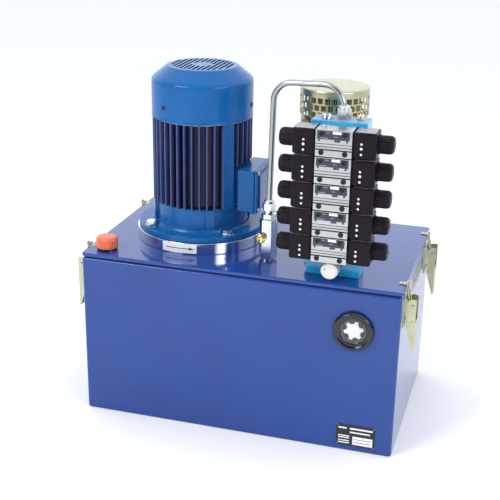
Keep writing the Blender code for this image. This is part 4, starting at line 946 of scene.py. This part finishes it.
def valve_parts(front):
    """Valve body about the spool's axis: grooved block, name plate, blank fields and four screws."""
    half = VALVE_HALF
    grooves, parts = [], []
    # The strips laid in the grooves are painted shade: groove shade in the two upper grooves, and black in
    # the lowest, widest one.
    for z, tall, finish in ((-0.0009, 0.0012, SHADOW), (-0.0059, 0.0015, SHADOW), (-0.0107, 0.0026, BLACK)):
        low, high = z - tall / 2, z + tall / 2
        grooves.append(block(-0.05, 0.05, front - 0.01, front + GROOVE_DEPTH, low, high))
        parts.append((block(0.0004 - half, half - 0.0004, front + GROOVE_DEPTH / 2, front + 0.0018,
                            low - 0.0002, high + 0.0002), finish))

    def seats(screws, deep):
        return [at(forward(rod(SEAT_RADIUS, -deep, 0.01, 32)), x, front, z) for x, z in screws]

    body = block(-half, half, front, VALVE_BACK, -VALVE_TOP, VALVE_TOP, 0.0009, 2)
    bore = sideways(rod(0.0083, -0.06, 0.06, 36))
    parts.append((carved(body, grooves + seats(VALVE_SCREWS, GROOVE_DEPTH) + [bore]), VALVE))
    for x, z in VALVE_SCREWS:
        parts.append((at(forward(socket_screw(0.0046, 0.0026)), x, front + GROOVE_DEPTH, z), BLACK_SCREW))
    plate = block(-0.0283, 0.0268, front - HAIR * 2, front, 0.007, 0.0214)
    parts.append((carved(plate, seats(VALVE_SCREWS[:2], 0.01)), PLATE))

    def print_on(x0, x1, z0, z1, finish, level):
        parts.append((block(x0, x1, front - HAIR * (level + 1), front - HAIR * (level - 1), z0, z1), finish))

    print_on(-0.002, 0.0125, 0.0166, 0.021, WHITE, 2)
    for x0, x1, z in ((-0.013, -0.007, 0.0182), (0.0005, 0.0065, 0.0118), (-0.0225, -0.01, 0.009)):
        print_on(x0, x1, z, z + 0.0007, VALVE, 2)
    for x0, x1 in ((-0.0262, -0.0232), (0.0012, 0.011), (0.0205, 0.024)):
        print_on(x0, x1, 0.0034, 0.0066, PLATE, 1)
    return parts


def coil_parts(side, front):
    """Moulded coil with the pins of its connector, a knurled end nut and a pale strip on its top that is
    painted sheen, about the spool's axis.
    """
    inner, end, nut, half = COIL_INNER, COIL_END, NUT_END, COIL_HALF

    def span(start, stop):
        return sorted((side * start, side * stop))

    wells = [at(forward(rod(radius + 0.0009, -0.0012, 0.01, 32)), PIN_X[side], front, z)
             for z, radius in PINS]
    bore = lathe([(0, 0), (0.0066, 0), (0.0066, 0.0866), (0.0024, 0.0866), (0.0024, 0.11), (0, 0.11)], 24)
    body = block(*span(inner + 0.0012, end), front, COIL_BACK, -half, half, 0.003, 3)
    seal = block(*span(inner, inner + 0.003), front + 0.002, COIL_BACK - 0.001, -half + 0.0018,
                 half - 0.0018, 0.001)
    cap = lathe([(0.0068, end - 0.001), (0.0155, end - 0.001), (0.0155, nut - 0.006),
                 (0.0135, nut - 0.0015), (0.01, nut), (0.0026, nut), (0.0026, nut - 0.01),
                 (0.0068, nut - 0.0116)], 120, 0.0024, (20, 0.0009, 0.014))
    flange = lathe([(0.0068, end - 0.0002), (0.0166, end - 0.0002), (0.0166, end + 0.0028),
                    (0.0068, end + 0.0028)], 48, 0.0006)
    parts = [(carved(body, wells + [sideways(bore, side)]), COIL),
             (carved(seal, [sideways(rod(0.007, -0.06, 0.06, 24))]), RUBBER),
             (sideways(cap, side), COIL), (sideways(flange, side), COIL)]
    for z, radius in PINS:
        pin = lathe([(0, -0.002), (radius, -0.002), (radius, -0.0002), (radius * 0.6, 0.0003),
                     (0, 0.0003)], 28, 0.0003)
        parts.append((at(forward(pin), PIN_X[side], front, z), SILVER))
    # Pale strip on the coil's top face: painted sheen.
    painted_sheen_ridge = block(*span(inner + 0.004, end - 0.003), front + 0.003, COIL_BACK - 0.003, half - 0.0006,
                  half + 0.0002, 0.0002)
    parts.append((painted_sheen_ridge, COIL_TOP_PAINTED_SHEEN))
    return parts


def make_valves():
    for row in ROWS:
        spool = centre(f"valve_spool_{row}")
        place = (spool.x, spool.y, centre(f"solenoid_left_{row}", f"solenoid_right_{row}").z)
        body_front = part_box(f"valve_body_{row}")[0].y - spool.y
        coil_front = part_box(f"solenoid_left_{row}")[0].y - spool.y
        for name, parts, node, slot in (
                ("valve_block", valve_parts(body_front), "valve_body", "zinc"),
                ("coil_left", coil_parts(-1, coil_front), "solenoid_left", "black_plastic"),
                ("coil_right", coil_parts(1, coil_front), "solenoid_right", "black_plastic")):
            piece(f"{name}_{row}", parts, [f"{node}_{row}"], place=place)


# ---- Filler and breather ----

def make_filler():
    middle = centre("filler_neck")
    low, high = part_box("filler_neck")
    cap_low, cap_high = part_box("filler_cap")
    neck = lathe([(0.012, low.z), (0.0142, low.z), (0.0142, LID_TOP + 0.0003), (0.019, LID_TOP + 0.0003),
                  (0.019, cap_low.z - 0.0003), (0.0142, cap_low.z - 0.0003), (0.0142, high.z),
                  (0.012, high.z)], 64, 0.0005)
    piece("filler_neck_ring", [(neck, GLOSS_BLACK)], ["filler_neck"], place=middle.xy)
    radius, top = (cap_high.x - cap_low.x) / 2, cap_high.z
    cap = lathe([(0, 0.337), (0.0145, 0.337), (0.0145, cap_low.z), (radius - 0.0004, cap_low.z),
                 (radius, cap_low.z + 0.001), (radius, top - 0.005), (radius - 0.0022, top - 0.0012),
                 (radius - 0.006, top), (0, top + 0.0008)], 168, 0.0022, (28, 0.0008, 0.0188))
    piece("filler_cap_moulding", [(cap, RED)], ["filler_cap"], body="filler_cap",
          place=middle.xy)


def perforated_guard(radius, low, high):
    """Two-step cup of perforated sheet: holes in staggered rows, plain bands and a flat plain top."""
    pitch = math.tau / GUARD_COLUMNS
    web = pitch * 0.26
    offsets = (web / 2, pitch / 2 - web / 2, pitch / 2 + web / 2, pitch - web / 2)
    angles = [pitch * column + offset for column in range(GUARD_COLUMNS) for offset in offsets]
    step_z, narrow, crown = low + 0.022, radius - 0.0025, high - 0.0115
    levels = [(narrow, low), (narrow, low + 0.003), (narrow, low + 0.004), (narrow, low + 0.017),
              (narrow, low + 0.018), (narrow, step_z - 0.001), (radius - 0.0004, step_z),
              (radius, step_z + 0.001)]
    holes = {2: 1}
    step = (crown - step_z - 0.003) / GUARD_ROWS
    for row in range(GUARD_ROWS):
        base = step_z + 0.002 + row * step
        levels += [(radius, base + step * 0.11), (radius, base + step * 0.89)]
        holes[len(levels) - 2] = row % 2
    levels += [(radius, crown), (radius, high - 0.0034), (radius - 0.0007, high - 0.0014),
               (radius - 0.0022, high - 0.0003), (radius - 0.006, high), (radius * 0.72, high + 0.0004),
               (radius * 0.36, high + 0.0005)]
    bm = bmesh.new()
    grid = [[bm.verts.new((r * math.cos(a), r * math.sin(a), z)) for a in angles] for r, z in levels]
    for level in range(len(levels) - 1):
        for k in range(len(angles)):
            if level in holes and (k + 2 * holes[level]) % 4 < 3:
                continue
            after = (k + 1) % len(angles)
            bm.faces.new((grid[level][k], grid[level][after], grid[level + 1][after], grid[level + 1][k]))
    bm.faces.new(grid[-1])
    obj = bpy.data.objects.new("guard", mesh_of(bm))
    solid = obj.modifiers.new("sheet", "SOLIDIFY")
    solid.thickness = GUARD_SHEET
    solid.offset = -1
    return evaluated(obj)


def make_breather():
    middle = centre("breather_guard")
    place = middle.xy
    low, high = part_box("breather_guard")
    riser_low, riser_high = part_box("breather_riser")
    foot = LID_TOP + 0.008
    riser = lathe([(0.014, riser_low.z), (0.035, riser_low.z), (0.035, foot), (0.02, foot),
                   (0.0172, LID_TOP + 0.011), (0.0172, low.z - 0.008), (0.0205, low.z - 0.0042),
                   (0.0625, low.z - 0.004), (0.0625, riser_high.z), (0.014, riser_high.z)], 96, 0.001)
    parts = [(riser, TUBE)]
    for k in range(4):
        for mesh in bolt(0.008, 0.004, 0.001):
            parts.append((turn(at(mesh, 0.0275, 0, foot), 45 + 90 * k), ZINC))
    piece("breather_stand", parts, ["breather_riser"], place=place)
    outline = []
    for k in range(2 * PLEATS):
        radius, angle = PLEAT_RADII[k % 2], math.pi * k / PLEATS
        outline.append((radius * math.cos(angle), radius * math.sin(angle)))
    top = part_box("breather_element")[1].z
    parts = [(prism(outline, low.z + 0.004, top - 0.004), PAPER)]
    for z in (low.z, top - 0.0042):
        disc = lathe([(0.03, z), (0.05, z), (0.05, z + 0.0042), (0.03, z + 0.0042)], 72, 0.0006)
        parts.append((disc, ZINC))
    piece("breather_cartridge", parts, ["breather_element"], smooth=20, place=place)
    guard = perforated_guard((high.x - low.x) / 2, low.z, high.z)
    piece("breather_guard_cup", [(guard, YELLOW)], ["breather_guard"], place=place)


# ---- Latches ----

def make_latches():
    for side, y, name in latch_places():
        piece("lever_" + name, [(refined("latch_lever_" + name, 0.0004), YELLOW)], ["latch_lever_" + name],
              body="lever_" + name)
        reach, rise = side * (HOOK_X - BAIL_X), HOOK_Z - BAIL_Z
        pin, half = BAIL_PIN, BAIL_HALF
        corners = [(0, -pin, 0), (0, -half, 0), (reach, -half, rise), (reach, half, rise), (0, half, 0),
                   (0, pin, 0)]
        bail = wire(rounded_path(corners, 0.0026, 8), BAIL_WIRE)
        piece("bail_" + name, [(bail, YELLOW)], ["latch_bail_" + name], body="bail_" + name,
              place=(side * BAIL_X, y, BAIL_Z))


# ---- Stage ----

def make_stage():
    bm = bmesh.new()
    bmesh.ops.create_grid(bm, x_segments=1, y_segments=1, size=FLOOR_HALF)
    mesh = mesh_of(bm)
    floor = bpy.data.objects.new("floor", mesh)
    floor.location = (0, 0, -FLOOR_DROP)
    link(floor)
    paper = bpy.data.materials.new("white_floor")
    paper.use_nodes = True
    shader = paper.node_tree.nodes["Principled BSDF"]
    shader.inputs["Base Color"].default_value = (0.9, 0.9, 0.91, 1)
    shader.inputs["Roughness"].default_value = 0.9
    mesh.materials.append(paper)


def area_light(name, place, target, size, power):
    data = bpy.data.lights.new(name, "AREA")
    data.shape = "RECTANGLE"
    data.size, data.size_y = size
    data.energy = power
    light = bpy.data.objects.new(name, data)
    light.location = place
    light.rotation_euler = (Vector(target) - Vector(place)).to_track_quat("-Z", "Y").to_euler()
    link(light)


def make_world():
    """White studio that is brighter behind the object than in front of it."""
    world = bpy.data.worlds.new("studio")
    bpy.context.scene.world = world
    world.use_nodes = True
    tree, links = world.node_tree, world.node_tree.links
    background = tree.nodes["Background"]
    place = add_node(tree, "TexCoord").outputs["Generated"]
    tilt = add_node(tree, "VectorMath", [(0, place), (1, SKY_TILT)], operation="DOT_PRODUCT")
    ramp = add_node(tree, "ValToRGB")
    shift = add_node(tree, "MapRange", [("Value", tilt.outputs["Value"]), ("From Min", -1), ("From Max", 1)])
    links.new(shift.outputs["Result"], ramp.inputs["Fac"])
    stops = ramp.color_ramp.elements
    for index, (position, colour) in enumerate(SKY):
        stop = stops[index] if index < 2 else stops.new(position)
        stop.position = position
        stop.color = colour
    links.new(ramp.outputs["Color"], background.inputs["Color"])
    background.inputs["Strength"].default_value = SKY_STRENGTH


def make_camera():
    ahead = Vector((-math.sin(YAW) * math.cos(PITCH), math.cos(YAW) * math.cos(PITCH), -math.sin(PITCH)))
    level = Vector((math.cos(YAW), math.sin(YAW), 0))
    up = level.cross(ahead)
    right = math.cos(ROLL) * level + math.sin(ROLL) * up
    above = -math.sin(ROLL) * level + math.cos(ROLL) * up
    data = bpy.data.cameras.new("camera")
    data.lens, data.sensor_width = LENS, SENSOR
    camera = bpy.data.objects.new("camera", data)
    matrix = Matrix((right, above, -ahead)).transposed().to_4x4()
    matrix.translation = CAMERA_AT
    camera.matrix_world = matrix
    link(camera)
    bpy.context.scene.camera = camera


make_camera()
make_world()
make_stage()
for light_settings in LIGHTS:
    area_light(*light_settings)
bpy.context.scene.view_settings.view_transform = "Standard"
finish_nodes()
for make in (make_tank, make_lid, make_sight_glass, make_rating_plate, make_bellhousing, make_motor_flange,
             make_motor_frame, make_terminal_cover, make_cowl, make_check_valve, make_tube, make_manifold,
             make_relief, make_valves, make_filler, make_breather, make_latches):
    make()
